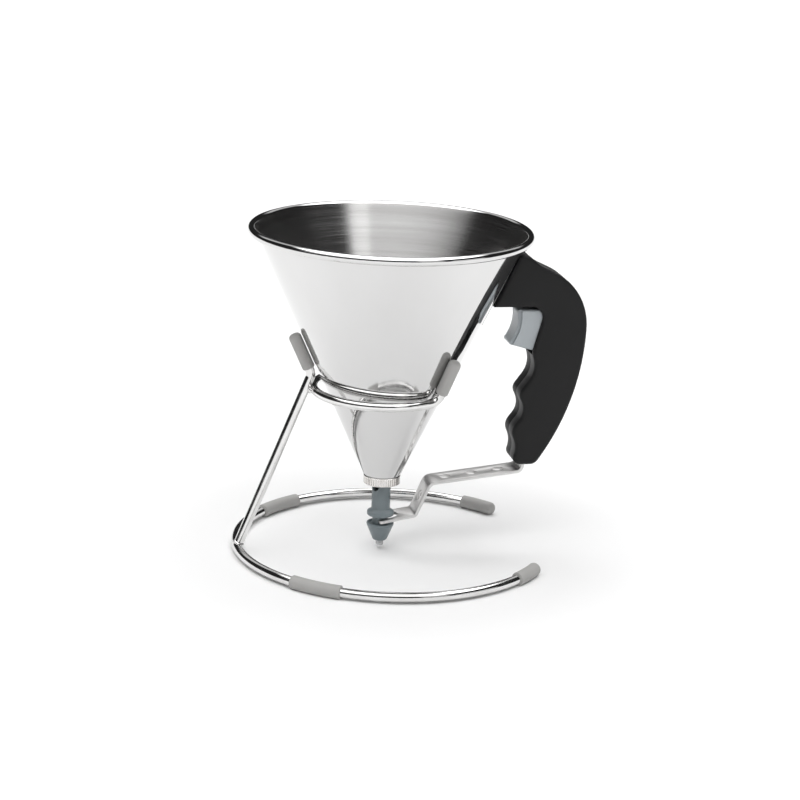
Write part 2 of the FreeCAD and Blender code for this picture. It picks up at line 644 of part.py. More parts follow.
def handle_shell(name, left):
    """Half of the handle, from the parting plane out. The left one has the screw heads."""
    body = start_body(name)
    corners = [corner[:2] for corner in HANDLE_CORNERS]
    for index, radius in HANDLE_ARCS.items():
        corners[index] += (radius,)
    pad(body, outline(body, "XZ", corners), "Dim.grip_thickness / 2", False, left)
    round_corners(body, HANDLE_CORNERS)
    face = number("Dim.grip_thickness / 2")
    round_edges(body, in_face(face), "Dim.grip_edge")

    def hollow(corners, depth):
        cut(body, outline(body, "XZ", corners), depth, not left)

    bay_high = "(Fit.trigger_top + 3 * Dim.free_gap)"
    floor_ease = "Dim.spring_wire * 2"
    roof_ease = "Dim.spring_diameter - 1"
    hollow([
        (BACK + " - 29.6", "Fit.bay_low"),
        ("Fit.spring_back_x - " + floor_ease, "Fit.bay_low"),
        ("Fit.spring_back_x", "Fit.bay_low + " + floor_ease),
        ("Fit.spring_back_x", bay_high + " - (" + roof_ease + ")"),
        ("Fit.spring_back_x - (" + roof_ease + ")", bay_high),
        (BACK + " - 32", bay_high),
        (BACK + " - 32", bay_high + " - (" + roof_ease + ")"),
    ], "Dim.trigger_width / 2 + Dim.rest_gap")
    eye = circles(body, "XZ", [("Fit.pivot_x", "Fit.pivot_z")], "Fit.eye_diameter / 2 + Dim.free_gap")
    cut(body, eye, "Dim.arm_width / 2 + Dim.free_gap", not left)
    low = "(Fit.arm_shoulder_z - Dim.mouth_back)"
    shoulder = "(Fit.arm_shoulder_z + 3 * Dim.free_gap)"
    behind = "Fit.arm_half + Dim.free_gap"
    channel_top = "(Fit.bay_low + Dim.free_gap)"
    hollow([
        (lever_x(low, "-Fit.arm_half - Dim.channel_front"), low),
        (lever_x(low, behind), low),
        ("Fit.pivot_x + Dim.mouth_back", "Fit.pivot_z - Fit.eye_diameter / 2 - Dim.free_gap"),
        ("Fit.pivot_x + Fit.eye_diameter / 2 + Dim.free_gap", "Fit.pivot_z"),
        (lever_x("Fit.bay_low", behind + " + Dim.mouth_back + Fit.bay_swing"), channel_top),
        (lever_x("Fit.bay_low", "-Fit.arm_half - Dim.free_gap"), channel_top),
    ], "Dim.arm_width / 2 + Dim.free_gap")
    mouth = "(Fit.grip_low - Dim.mouth_front)"
    hollow([
        (lever_x(mouth, "-Fit.arm_half - Dim.mouth_front"), mouth),
        (lever_x(mouth, "Fit.arm_half + Dim.mouth_back"), mouth),
        (lever_x(low, behind), shoulder),
        (lever_x(low, "-Fit.arm_half - Dim.channel_front"), shoulder),
    ], "Dim.strip_width / 2 + Dim.rest_gap")
    gap = "Dim.seat_gap"
    hollow(tang_outline(gap, "0"), "Dim.tang_thickness / 2 + " + gap)
    pin = circles(body, "XZ", [("Fit.pivot_x", "Fit.pivot_z")], "Dim.pin_diameter / 2 + " + gap)
    cut(body, pin, "Dim.pin_length / 2 + " + gap, not left)
    screws = circles(body, "XZ", HEAD_SCREWS + GRIP_SCREWS, "Dim.screw_diameter / 2 + Dim.running_gap")
    if left:
        cut(body, screws)
        sink = circles(body, "XZ", HEAD_SCREWS + GRIP_SCREWS, "Dim.screw_head / 2 + Dim.free_gap")
        sink.AttachmentOffset = FreeCAD.Placement(Vector(0, 0, -face), FreeCAD.Rotation())
        cut(body, sink, "Dim.screw_head_height + Dim.grip_edge / 2", True)
    else:
        depth = "Dim.screw_length + Dim.screw_head_height + Dim.grip_edge / 2 - Dim.grip_thickness / 2"
        cut(body, screws, depth + " + Dim.rest_gap", True)
    return keep(body)


def handle_screws():
    """Four pan-head screws let into the left shell, from the side that faces away."""
    seat = "Dim.grip_thickness / 2 - Dim.grip_edge / 2 - Dim.screw_head_height"
    pieces = []
    for x, z in HEAD_SCREWS + GRIP_SCREWS:
        shank = doc.addObject("Part::Cylinder", "Shank")
        settle(shank, Radius="Dim.screw_diameter / 2", Height="Dim.screw_length")
        shank.Placement.Rotation = FreeCAD.Rotation(Vector(1, 0, 0), 90)
        head = doc.addObject("Part::Cylinder", "Head")
        settle(head, Radius="Dim.screw_head / 2", Height="Dim.screw_head_height - Dim.free_gap")
        head.Placement.Rotation = FreeCAD.Rotation(Vector(1, 0, 0), -90)
        for piece in (shank, head):
            piece.setExpression("Placement.Base.x", x)
            piece.setExpression("Placement.Base.y", seat)
            piece.setExpression("Placement.Base.z", z)
        pieces.extend([shank, head])
    group = doc.addObject("Part::MultiFuse", "HandleScrews")
    group.Label = "handle_screws"
    group.Shapes = pieces
    doc.recompute()
    return keep(group)


def pivot_pin():
    body = start_body("pivot_pin")
    pad(body, circles(body, "XZ", [("Fit.pivot_x", "Fit.pivot_z")], "Dim.pin_diameter / 2"),
        "Dim.pin_length")
    return keep(body)


# Lever and trigger

def bend_corner(x, z, before, after, side):
    """Corner of the strip's edge at a bend between two directions, on one side of its middle."""
    reach = side + "Dim.strip_thickness / 2 / cos((" + after + " - " + before + ") / 2)"
    lean = "((" + before + " + " + after + ") / 2)"
    return (x + " - (" + reach + ") * sin(" + lean + ")", z + " + (" + reach + ") * cos(" + lean + ")")


def lever_strip():
    """One strip, bent four times: fork, slope, flat stretch with its holes, and arm."""
    bends = [
        ("Dim.fork_tip_x", "Dim.fork_tip_z", "Fit.fork_tilt", "Fit.fork_tilt"),
        ("Dim.bend_low_x", "Dim.bend_low_z", "Fit.fork_tilt", "Fit.slope_tilt"),
        ("Dim.bend_mid_x", "Dim.bend_mid_z", "Fit.slope_tilt", "Fit.flat_tilt"),
        ("Fit.bend_end_x", "Fit.bend_end_z", "Fit.flat_tilt", "Fit.arm_tilt"),
        ("Fit.arm_top_x", "Fit.arm_top_z", "Fit.arm_tilt", "Fit.arm_tilt"),
    ]
    lower = [bend_corner(*bend, side="-") for bend in bends]
    upper = [bend_corner(*bend, side="") for bend in bends]
    body = start_body("lever_strip")
    pad(body, outline(body, "XZ", lower + upper[::-1]), "Dim.strip_width")

    def bend_edges(spots):
        wanted = [(number(x), number(z)) for x, z in spots]

        def chosen(edge):
            ends = [v.Point for v in edge.Vertexes]
            level = len(ends) == 2 and abs(ends[0].x - ends[1].x) < 1e-6 and abs(ends[0].z - ends[1].z) < 1e-6
            return level and any(math.hypot(ends[0].x - x, ends[0].z - z) < 1e-3 for x, z in wanted)
        return chosen

    inside = [upper[1], lower[2], upper[3]]
    outside = [lower[1], upper[2], lower[3]]
    round_edges(body, bend_edges(inside), "Dim.bend_radius")
    round_edges(body, bend_edges(outside), "Dim.bend_radius + Dim.strip_thickness")
    slot = "Fit.fork_slot_half"
    tip = "Dim.fork_tip_x - Dim.strip_thickness"
    cut(body, outline(body, "XY", [
        (tip, "-" + slot),
        ("Fit.fork_slot_end - " + slot, "-" + slot, slot),
        ("Fit.fork_slot_end", "0", slot),
        ("Fit.fork_slot_end - " + slot, slot),
        (tip, slot),
    ]))
    holes = [("Dim.hole_first_x + %d * Dim.hole_pitch" % i, "0") for i in range(3)]
    cut(body, circles(body, "XY", holes, "Dim.hole_diameter / 2"))
    cut(body, circles(body, "YZ", [("0", "Dim.slope_hole_z")], "Dim.hole_diameter / 2"))
    cut(body, circles(body, "YZ", [("0", "Fit.rivet_z")], "Dim.rivet_diameter / 2 + Dim.seat_gap"))
    for side in ("", "-"):
        edge = side + "Dim.strip_width"
        arm = side + "Dim.arm_width / 2"
        top = "Fit.arm_top_z + Dim.strip_width"
        cut(body, outline(body, "YZ", [
            (arm, "Fit.arm_shoulder_z"), (edge, "Fit.arm_shoulder_z"), (edge, top), (arm, top)]))
    corner = number("Dim.strip_width / 2")
    tips = number("Dim.fork_tip_x") + 1

    def tip_edge(edge):
        ends = [v.Point for v in edge.Vertexes]
        upright = edge.Length < 2 and all(p.x < tips for p in ends)
        return upright and all(abs(abs(p.y) - corner) < 1e-4 for p in ends)

    round_edges(body, tip_edge, "Dim.strip_thickness / 2")
    return keep(body)


def pivot_eye():
    """Short tube welded on the back of the arm, which turns on the pin."""
    body = start_body("pivot_eye")
    centre = [("Fit.pivot_x", "Fit.pivot_z")]
    pad(body, circles(body, "XZ", centre, "Fit.eye_diameter / 2 - Dim.seat_gap"), "Dim.arm_width")
    cut(body, circles(body, "XZ", centre, "Dim.pin_diameter / 2 + Dim.running_gap"))
    return keep(body)


def trigger():
    """Moulded finger piece: hollow front, two cheeks back past the arm."""
    top = "Fit.trigger_top"
    body = start_body("trigger")
    corners = [
        (BACK + " - 36.8", top, "2.0"),
        (BACK + " - 41.2", top + " - 18.0", "1.3"),
        (BACK + " - 28.0", top + " - 21.6", "2.0"),
        (BACK + " - 18.6", top + " - 19.0", "2.0"),
        (BACK + " - 17.0", top, "6.0"),
    ]
    side_view = [corner[:2] for corner in corners]
    side_view[0] += ("-22",)
    pad(body, outline(body, "XZ", side_view), "Dim.trigger_width")
    round_corners(body, corners)
    round_edges(body, in_face(number("Dim.trigger_width / 2")), "Dim.trigger_edge")
    slot = "Dim.arm_width / 2 + Dim.seat_gap"
    face = "-Fit.arm_half - Dim.seat_gap"
    low = "(" + top + " - 24)"
    high = "(" + top + " - Dim.arm_top_drop / 2)"
    for backwards in (False, True):
        cut(body, outline(body, "XZ", [
            (lever_x(low, face), low),
            (BACK + " - 10", low),
            (BACK + " - 10", high),
            (lever_x(high, face), high),
        ]), slot, backwards)
    rivet = circles(body, "YZ", [("0", "Fit.rivet_z")], "Dim.rivet_diameter / 2 + Dim.seat_gap")
    rivet.setExpression("AttachmentOffset.Base.z", lever_x("Fit.rivet_z", "0"))
    doc.recompute()
    cut(body, rivet, "Dim.rivet_depth + Fit.arm_half", False)
    return keep(body)


def trigger_rivet():
    shank = doc.addObject("Part::Cylinder", "RivetShank")
    settle(shank, Radius="Dim.rivet_diameter / 2", Height="Dim.rivet_depth + 2 * Fit.arm_half")
    head = doc.addObject("Part::Cylinder", "RivetHead")
    settle(head, Radius="Dim.rivet_head / 2", Height="1")
    back = lever_x("Fit.rivet_z + Dim.rivet_head / 2", "Fit.arm_half + Dim.seat_gap")
    for piece, along in ((shank, " - Dim.rivet_depth - 2 * Fit.arm_half"), (head, "")):
        piece.Placement.Rotation = FreeCAD.Rotation(Vector(0, 1, 0), 90)
        piece.setExpression("Placement.Base.x", back + along)
        piece.setExpression("Placement.Base.z", "Fit.rivet_z")
    rivet = doc.addObject("Part::Fuse", "TriggerRivet")
    rivet.Label = "trigger_rivet"
    rivet.Base = shank
    rivet.Tool = head
    doc.recompute()
    return keep(rivet)


def return_spring():
    """Compression spring behind the trigger, one unbroken round wire."""
    wire = number("Dim.spring_wire")
    mean = number("Dim.spring_diameter") / 2 - wire / 2
    front = number("Fit.spring_front_x") + wire / 2
    back = number("Fit.spring_back_x - Dim.rest_gap") - wire / 2
    turns = number("Dim.spring_turns")
    pitch = (back - front) / turns
    along = FreeCAD.Placement(Vector(front, 0, number("Fit.spring_z")), FreeCAD.Rotation(Vector(0, 1, 0), 90))
    path = Part.makeHelix(pitch, back - front, mean)
    path.Placement = along
    section = Part.Wire(Part.makeCircle(wire / 2, Vector(mean, 0, 0), Vector(0, 1, 0)))
    section.Placement = along
    coil = Part.Wire(path.Edges).makePipeShell([section], True, True)
    print("spring gap between turns", round(pitch - wire, 2))
    return keep(feature_of("return_spring", coil))


# Valve

def valve_tube():
    """Sliding tube, closed above its two windows, with the flange and neck that the fork holds."""
    tube = "Dim.tube_diameter / 2"
    bore = "Fit.tube_bore / 2"
    neck = "Fit.neck_diameter / 2"
    flange = "Fit.flange_diameter / 2"
    window_high = "(Fit.window_low + Dim.window_height)"
    head = "(" + window_high + " + Dim.tube_head)"
    neck_low = "Fit.nozzle_high - Dim.neck_depth"
    body = revolve("valve_tube", [
        (bore, neck_low),
        (neck, neck_low),
        (neck, "Fit.flange_low"),
        (flange + " - Dim.flange_ease", "Fit.flange_low"),
        (flange, "Fit.flange_low + Dim.flange_ease"),
        (flange, "Fit.flange_high - Dim.flange_ease"),
        (flange + " - Dim.flange_ease", "Fit.flange_high"),
        (tube, "Fit.flange_high + Dim.shoulder_height"),
        (tube, head + " - Dim.tube_head_ease"),
        (tube + " - Dim.tube_head_ease", head),
        ("0", head),
        ("0", window_high + " + Dim.drill_tip"),
        (bore, window_high),
    ])
    half = "Dim.window_width / 2"
    cut(body, outline(body, "YZ", [
        ("-" + half, "Fit.window_low + " + half, half),
        ("0", "Fit.window_low", half),
        (half, "Fit.window_low + " + half),
        (half, window_high),
        ("-" + half, window_high),
    ]))
    return keep(body, FreeCAD.Rotation(UP, number("Dim.window_turn")))


def nozzle_cone():
    """Conical nozzle pressed on the neck, dished on top, with a socket for the clear tip."""
    neck = "Fit.neck_diameter / 2 + Dim.seat_gap"
    socket = "Dim.tip_diameter / 2 + Dim.seat_gap"
    top = "Fit.nozzle_top / 2"
    return keep(revolve("nozzle_cone", [
        (socket, "Fit.nozzle_low"),
        ("Dim.nozzle_bottom / 2 - Dim.nozzle_foot_ease", "Fit.nozzle_low"),
        ("Dim.nozzle_bottom / 2", "Fit.nozzle_low + Dim.nozzle_foot_ease"),
        (top, "Fit.nozzle_high - Dim.nozzle_band"),
        (top, "Fit.nozzle_high - Dim.nozzle_ease"),
        (top + " - Dim.nozzle_ease", "Fit.nozzle_high"),
        (top + " - Dim.nozzle_rim", "Fit.nozzle_high"),
        (top + " - Dim.nozzle_rim - Dim.nozzle_dish / 2", "Fit.nozzle_high - Dim.nozzle_dish"),
        (neck, "Fit.nozzle_high - Dim.nozzle_dish"),
        (neck, "Fit.nozzle_high - Dim.neck_depth - Dim.seat_gap"),
        ("Dim.tip_bore / 2", "Fit.nozzle_low + Dim.tip_depth + Dim.seat_gap"),
        (socket, "Fit.nozzle_low + Dim.tip_depth + Dim.seat_gap"),
    ]))


def nozzle_tip():
    outside = "Dim.tip_diameter / 2"
    bore = "Dim.tip_bore / 2"
    return keep(revolve("nozzle_tip", [
        (bore, "Dim.outlet_height"),
        (outside + " - Dim.tip_ease", "Dim.outlet_height"),
        (outside, "Dim.outlet_height + Dim.tip_ease"),
        (outside, "Fit.nozzle_low + Dim.tip_depth"),
        (bore, "Fit.nozzle_low + Dim.tip_depth"),
    ]))


# Stand

def base_arc(name, wire_diameter, start_angle, sweep):
    """Part of a ring on the base circle. Angles are formulas in degrees from +X."""
    ring = doc.addObject("Part::Torus", name)
    settle(ring, Radius1="Dim.base_radius", Radius2=wire_diameter + " / 2", Angle3=sweep)
    ring.setExpression("Placement.Base.x", "Dim.base_shift")
    ring.setExpression("Placement.Base.z", "Fit.base_wire_z")
    ring.Placement.Rotation = FreeCAD.Rotation(UP, 1)
    ring.setExpression("Placement.Rotation.Angle", start_angle)
    doc.recompute()
    return ring


def along_base(length):
    """Formula for the degrees that a length takes on the base circle."""
    return "((" + length + ") / Dim.base_radius * 180 / pi)"


def base_ring():
    start = "(Dim.base_gap_angle + " + along_base("Dim.cap_floor") + ")"
    holder = doc.addObject("Part::Compound", "BaseRing")
    holder.Label = "base_ring"
    holder.Links = [base_arc("BaseRingWire", "Dim.base_wire", start, "360 - 2 * " + start)]
    doc.recompute()
    return keep(holder)


def table_cutter(name):
    """A slab under the table's surface, wider than the stand."""
    slab = doc.addObject("Part::Box", name)
    settle(slab, Length="4 * Dim.base_radius", Width="4 * Dim.base_radius", Height="Fit.sleeve_diameter")
    slab.setExpression("Placement.Base.x", "-2 * Dim.base_radius")
    slab.setExpression("Placement.Base.y", "-2 * Dim.base_radius")
    slab.setExpression("Placement.Base.z", "-Fit.sleeve_diameter")
    doc.recompute()
    return slab


def subtract(name, base, *tools):
    for tool in tools:
        result = doc.addObject("Part::Cut", name.title().replace("_", ""))
        result.Base = base
        result.Tool = tool
        base = result
        doc.recompute()
    result.Label = name
    return result


def base_sleeve(name, middle):
    """Rubber tube stretched over the base wire, with the flat that rests on the table."""
    sweep = along_base("Dim.mid_sleeve_length")
    start = middle + " - " + sweep + " / 2"
    rubber = base_arc(name + "_rubber", "Fit.sleeve_diameter", start, sweep)
    wire = base_arc(name + "_wire", "(Dim.base_wire + 2 * Dim.seat_gap)", start + " - 1", sweep + " + 2")
    return keep(subtract(name, rubber, wire, table_cutter(name + "_table")))


def base_cap(name, hand):
    """Rubber cap on an end of the base wire, rounded at its closed end."""
    sweep = along_base("Dim.cap_length")
    floor = along_base("Dim.cap_floor - Dim.seat_gap")
    end = "Dim.base_gap_angle"
    if hand > 0:
        near = end
        hole = end + " + " + floor
    else:
        near = "-" + end + " - " + sweep
        hole = near + " - " + floor
    rubber = base_arc(name + "_rubber", "Fit.sleeve_diameter", near, sweep)
    closed = math.radians(number(end)) * hand
    mouth = Vector(number("Dim.base_shift + Dim.base_radius * " + repr(math.cos(closed))),
                   number("Dim.base_radius * " + repr(math.sin(closed))), number("Fit.base_wire_z"))
    soft = number("Fit.sleeve_diameter * Dim.rubber_rounding")
    rounded = doc.addObject("Part::Fillet", name + "_rounded")
    rounded.Base = rubber
    rounded.Edges = [(i + 1, soft, soft) for i, edge in enumerate(rubber.Shape.Edges)
                     if edge.Curve.TypeId == "Part::GeomCircle" and (edge.Curve.Center - mouth).Length < 0.01]
    doc.recompute()
    wire = base_arc(name + "_wire", "(Dim.base_wire + 2 * Dim.seat_gap)", hole, sweep)
    return keep(subtract(name, rounded, wire, table_cutter(name + "_table")))


def prong_line(angle_degrees):
    """A prong lies along the cone: its middle line as a point at the height of the table and the
    direction that climbs it."""
    lean = math.radians(number("Fit.cone_angle"))
    away = Vector(math.cos(math.radians(angle_degrees)), math.sin(math.radians(angle_degrees)), 0)
    stand_off = number("Fit.prong_sleeve_diameter / 2 + Dim.rest_gap") / math.cos(lean)
    foot = away * (number(cone_radius("0")) + stand_off)
    return foot, away * math.sin(lean) + UP * math.cos(lean)


def at_height(line, z):
    foot, climb = line
    return foot + climb * ((z - foot.z) / climb.z)


def round_wire(edges, diameter, name):
    """A bent round wire along tangent lines and arcs, with its volume compared."""
    path = Part.Wire(Part.__sortEdges__(edges))
    first = path.OrderedEdges[0]
    start = path.OrderedVertexes[0].Point
    at = first.FirstParameter
    if (first.valueAt(at) - start).Length > 1e-6:
        at = first.LastParameter
    section = Part.Wire(Part.makeCircle(diameter / 2, start, first.tangentAt(at)))
    wire = path.makePipeShell([section], True, False)
    expected = math.pi * diameter ** 2 / 4 * path.Length
    print(name, "volume against section times length", round(wire.Volume / expected, 4))
    return wire


def bend(before, corner, after, radius):
    """The arc that joins two straight runs at a corner, with its two ends."""
    into = (corner - before).normalize()
    out = (after - corner).normalize()
    turn = into.getAngle(out)
    reach = radius * math.tan(turn / 2)
    start = corner - into * reach
    end = corner + out * reach
    inward = (out - into).normalize()
    middle = corner + inward * (radius / math.cos(turn / 2) - radius)
    return start, Part.Arc(start, middle, end).toShape(), end


def leg_corners():
    """Middle line of the leg: its foot in the base ring and the corner under the back prong."""
    foot = Vector(number("Dim.base_shift - Dim.base_radius"), 0, number("Fit.base_wire_z"))
    return foot, at_height(prong_line(180), number("Dim.cradle_height + Dim.leg_bend_rise"))


def touching_leg():
    """How far along X the middle of the cradle's wire lies where it meets the leg."""
    foot, corner = leg_corners()
    climb = corner - foot
    height = number("Dim.cradle_height")
    touch = number("(Dim.base_wire + Dim.cradle_wire) / 2 - Dim.weld_sink")
    return foot.x + (height - foot.z) * climb.x / climb.z + touch * climb.Length / climb.z


def cradle_ring():
    """One wire: prong, round the cone, prong. The round part touches the leg and runs on straight
    to the corners under the prongs."""
    height = number("Dim.cradle_height")
    corner = at_height(prong_line(number("Dim.prong_angle")), height)
    far_x = touching_leg()
    straight = number("Dim.cradle_straight")
    gap = corner.x - far_x
    radius = (gap ** 2 + corner.y ** 2 - straight ** 2) / (2 * gap)
    centre = Vector(far_x + radius, 0, height)
    spread = math.acos(radius / (corner - centre).Length)
    bearing = math.atan2(corner.y, corner.x - centre.x) + spread
    tangent = centre + Vector(math.cos(bearing), math.sin(bearing), 0) * radius
    top = prong_top(number("Dim.prong_angle"), corner, 1)
    start, arc, end = bend(tangent, corner, top, number("Dim.cradle_bend"))
    half = [Part.LineSegment(tangent, start).toShape(), arc, Part.LineSegment(end, top).toShape()]
    opposite = Vector(tangent.x, -tangent.y, tangent.z)
    ring = Part.Arc(tangent, Vector(far_x, 0, height), opposite).toShape()
    print("cradle radius", round(radius, 2))
    other_half = [edge.mirror(Vector(), Vector(0, 1, 0)) for edge in half]
    wire = round_wire(half + [ring] + other_half, number("Dim.cradle_wire"), "cradle")
    keep(feature_of("cradle_ring", wire))
    return wire, top


def leg_shape():
    """The leg rises from the base ring and turns up into the back prong."""
    foot, corner = leg_corners()
    top = prong_top(180, corner, 0.5)
    start, arc, end = bend(foot, corner, top, number("Dim.cradle_bend"))
    edges = [Part.LineSegment(foot, start).toShape(), arc, Part.LineSegment(end, top).toShape()]
    return round_wire(edges, number("Dim.base_wire"), "leg"), top


def leg(base, cradle_wire):
    """Saddled on the base ring and on the cradle ring where it is welded to them."""
    wire, top = leg_shape()
    base_wire = base.Shape.copy()
    base_wire.translate(Vector(-number("Fit.axis_x"), 0, 0))
    wire = wire.cut(base_wire).cut(cradle_wire)
    keep(feature_of("leg", max(wire.Solids, key=lambda solid: solid.Volume)))
    return top


def prong_top(angle_degrees, corner, bend_share):
    """End of a prong's wire: room for its share of the bend, a bare stretch and the rubber."""
    rubber = "Dim.prong_bare + Dim.prong_sleeve_length - Dim.prong_sleeve_cap"
    return corner + prong_line(angle_degrees)[1] * number("Dim.cradle_bend * %r + " % bend_share + rubber)


def prong_sleeve(name, angle_degrees, wire_end, wire_diameter):
    """Rubber cap on a prong, closed and rounded at the top. The cone rests on it."""
    outside = "Fit.prong_sleeve_diameter / 2"
    bore = wire_diameter + " / 2 + Dim.seat_gap"
    length = "Dim.prong_sleeve_length"
    soft = "Fit.prong_sleeve_diameter * Dim.rubber_rounding"
    body = revolve(name, [
        (bore, "0"),
        (outside + " - Dim.rubber_ease", "0"),
        (outside, "Dim.rubber_ease"),
        (outside, length + " - " + soft, soft),
        (outside + " - " + soft, length),
        ("0", length),
        ("0", length + " - Dim.prong_sleeve_cap + Dim.seat_gap"),
        (bore, length + " - Dim.prong_sleeve_cap + Dim.seat_gap"),
    ])
    climb = prong_line(angle_degrees)[1]
    start = wire_end - climb * number("Dim.prong_sleeve_length - Dim.prong_sleeve_cap")
    keep(body, FreeCAD.Rotation(UP, climb))
    body.setExpression("Placement.Base.x", "Fit.axis_x + " + repr(start.x))
    body.Placement.Base.y = start.y
    body.Placement.Base.z = start.z
    return body


# The whole object

funnel_cone()
outlet_collar()
guide_bush()
seal_ring()
ring_nut()
handle_bracket()
handle_shell("handle_shell_left", True)
handle_shell("handle_shell_right", False)
handle_screws()
pivot_pin()
lever_strip()
pivot_eye()
trigger()
trigger_rivet()
return_spring()
valve_tube()
nozzle_cone()
nozzle_tip()
base = base_ring()
base_cap("base_cap_left", 1)
base_cap("base_cap_right", -1)
base_sleeve("base_sleeve_left", "Dim.mid_sleeve_angle")
base_sleeve("base_sleeve_right", "-Dim.mid_sleeve_angle")
cradle_wire, front_end = cradle_ring()
back_end = leg(base, cradle_wire)
other_end = Vector(front_end.x, -front_end.y, front_end.z)
prong_sleeve("prong_sleeve_left", number("Dim.prong_angle"), front_end, "Dim.cradle_wire")
prong_sleeve("prong_sleeve_right", -number("Dim.prong_angle"), other_end, "Dim.cradle_wire")
prong_sleeve("prong_sleeve_back", 180, back_end, "Dim.base_wire")

doc.recompute()
for item in doc.Objects:
    if "Invalid" in item.State or "Error" in item.State:
        raise RuntimeError(item.Label + " is " + " ".join(item.State))
for piece in parts:
    if piece.Shape.isNull() or not piece.Shape.isValid():
        raise RuntimeError(piece.Label + " has no valid shape")

os.makedirs("parts", exist_ok=True)
for piece in parts:
    piece.Shape.exportStep("parts/" + piece.Label + ".step")
print(len(parts), "pieces written")
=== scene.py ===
import json
import math
from contextlib import contextmanager

import bpy
from mathutils import Matrix, Vector


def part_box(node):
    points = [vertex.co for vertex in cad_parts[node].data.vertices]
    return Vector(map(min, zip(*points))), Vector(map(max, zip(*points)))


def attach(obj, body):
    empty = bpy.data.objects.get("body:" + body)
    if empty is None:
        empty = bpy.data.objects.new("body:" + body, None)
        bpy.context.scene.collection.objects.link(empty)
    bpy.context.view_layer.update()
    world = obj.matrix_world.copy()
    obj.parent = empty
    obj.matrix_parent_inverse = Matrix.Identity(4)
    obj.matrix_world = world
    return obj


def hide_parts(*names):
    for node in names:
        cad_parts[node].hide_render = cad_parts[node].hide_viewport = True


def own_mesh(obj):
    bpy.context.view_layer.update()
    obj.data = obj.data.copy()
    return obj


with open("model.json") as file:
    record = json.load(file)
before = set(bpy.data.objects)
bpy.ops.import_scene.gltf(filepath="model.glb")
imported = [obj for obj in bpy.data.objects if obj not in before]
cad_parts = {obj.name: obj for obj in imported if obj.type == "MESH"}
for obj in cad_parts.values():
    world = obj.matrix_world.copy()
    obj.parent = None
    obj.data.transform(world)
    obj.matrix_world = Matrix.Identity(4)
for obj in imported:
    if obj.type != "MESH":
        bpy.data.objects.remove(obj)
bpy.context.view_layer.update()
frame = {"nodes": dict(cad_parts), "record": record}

MM = 0.001
BODY_OF = {node: body for body, nodes in frame["record"]["behaviour"]["bodies"].items() for node in nodes}


# Places: millimetres, measured from the funnel's axis at table level

funnel_low, funnel_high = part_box("funnel_cone")
AXIS = Vector(((funnel_low.x + funnel_high.x) / 2 / MM, 0, 0))


def node_box(node):
    """Lowest and highest corner of a node."""
    low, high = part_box(node)
    return low / MM - AXIS, high / MM - AXIS


def spot(x, y, z):
    """A point in the frame's metres."""
    return (Vector((x, y, z)) + AXIS) * MM


def place(vertex):
    """Where a vertex is."""
    return vertex.co / MM - AXIS


rim_low, rim_high = node_box("funnel_cone")
collar_low, collar_high = node_box("outlet_collar")
nut_low, nut_high = node_box("ring_nut")
bush_low, bush_high = node_box("guide_bush")
tube_low, tube_high = node_box("valve_tube")
nozzle_low, nozzle_high = node_box("nozzle_cone")
tip_low, tip_high = node_box("nozzle_tip")
shell_low, shell_high = node_box("handle_shell_left")
bracket_low, bracket_high = node_box("handle_bracket")
base_low, base_high = node_box("base_ring")
cradle_low = node_box("cradle_ring")[0]

# Sheet metal cone

SHEET = 0.8
RIM_ROLL = 4.3
RIM_RADIUS = rim_high.x - RIM_ROLL / 2
RIM_Z = rim_high.z - RIM_ROLL / 2
OUTLET_RADIUS = 9.7
CONE_LOW = rim_low.z
ROLL_INNER = RIM_ROLL / 2 - SHEET
CONE_RUN = RIM_RADIUS - OUTLET_RADIUS
CONE_RISE = RIM_Z - CONE_LOW
CONE_ANGLE = math.acos(ROLL_INNER / math.hypot(CONE_RUN, CONE_RISE)) - math.atan(CONE_RISE / CONE_RUN)
WALL_ACROSS = SHEET / math.cos(CONE_ANGLE)
STRIP = 1.5
FIT_GAP = 0.02


def cone_radius(z):
    """The cone's outside at a height."""
    return OUTLET_RADIUS + (z - CONE_LOW) * math.tan(CONE_ANGLE)


# Working in edit mode

CLOSE = 0.01


def only(piece):
    bpy.ops.object.select_all(action="DESELECT")
    piece.select_set(True)
    bpy.context.view_layer.objects.active = piece


def everything(part):
    return True


@contextmanager
def chosen(piece, kind="VERT", wanted=everything):
    """Edit mode with nothing selected but the vertices, edges or faces that a test wants."""
    only(piece)
    bpy.ops.object.mode_set(mode="EDIT")
    bpy.ops.mesh.select_mode(type=kind)
    bpy.ops.mesh.select_all(action="DESELECT")
    bpy.ops.object.mode_set(mode="OBJECT")
    mesh = piece.data
    for part in {"VERT": mesh.vertices, "EDGE": mesh.edges, "FACE": mesh.polygons}[kind]:
        part.select = wanted(part)
    bpy.ops.object.mode_set(mode="EDIT")
    yield
    bpy.ops.object.mode_set(mode="OBJECT")


def edge_ends(piece, wanted):
    """A test of edges, passed when both ends pass a test of places."""
    vertices = piece.data.vertices
    return lambda edge: all(wanted(place(vertices[index])) for index in edge.vertices)


def at_level(piece, level):
    """A test of edges, passed by those that lie at a level along Y."""
    return edge_ends(piece, lambda at: abs(at.y - level) < CLOSE)


def settle(piece):
    """The object to the origin, unturned and unscaled, with its place in its mesh."""
    only(piece)
    bpy.ops.object.transform_apply(location=True, rotation=True, scale=True)


def close_up(piece, gap=CLOSE):
    """Closes seams and poles and turns every face out."""
    with chosen(piece):
        bpy.ops.mesh.remove_doubles(threshold=gap * MM)
        bpy.ops.mesh.select_all(action="SELECT")
        bpy.ops.mesh.normals_make_consistent(inside=False)
        bpy.ops.mesh.select_all(action="DESELECT")


def modify(piece, kind, **settings):
    """Adds a modifier and applies it."""
    only(piece)
    modifier = piece.modifiers.new(kind.title(), kind)
    for name, value in settings.items():
        setattr(modifier, name, value)
    bpy.ops.object.modifier_apply(modifier=modifier.name)


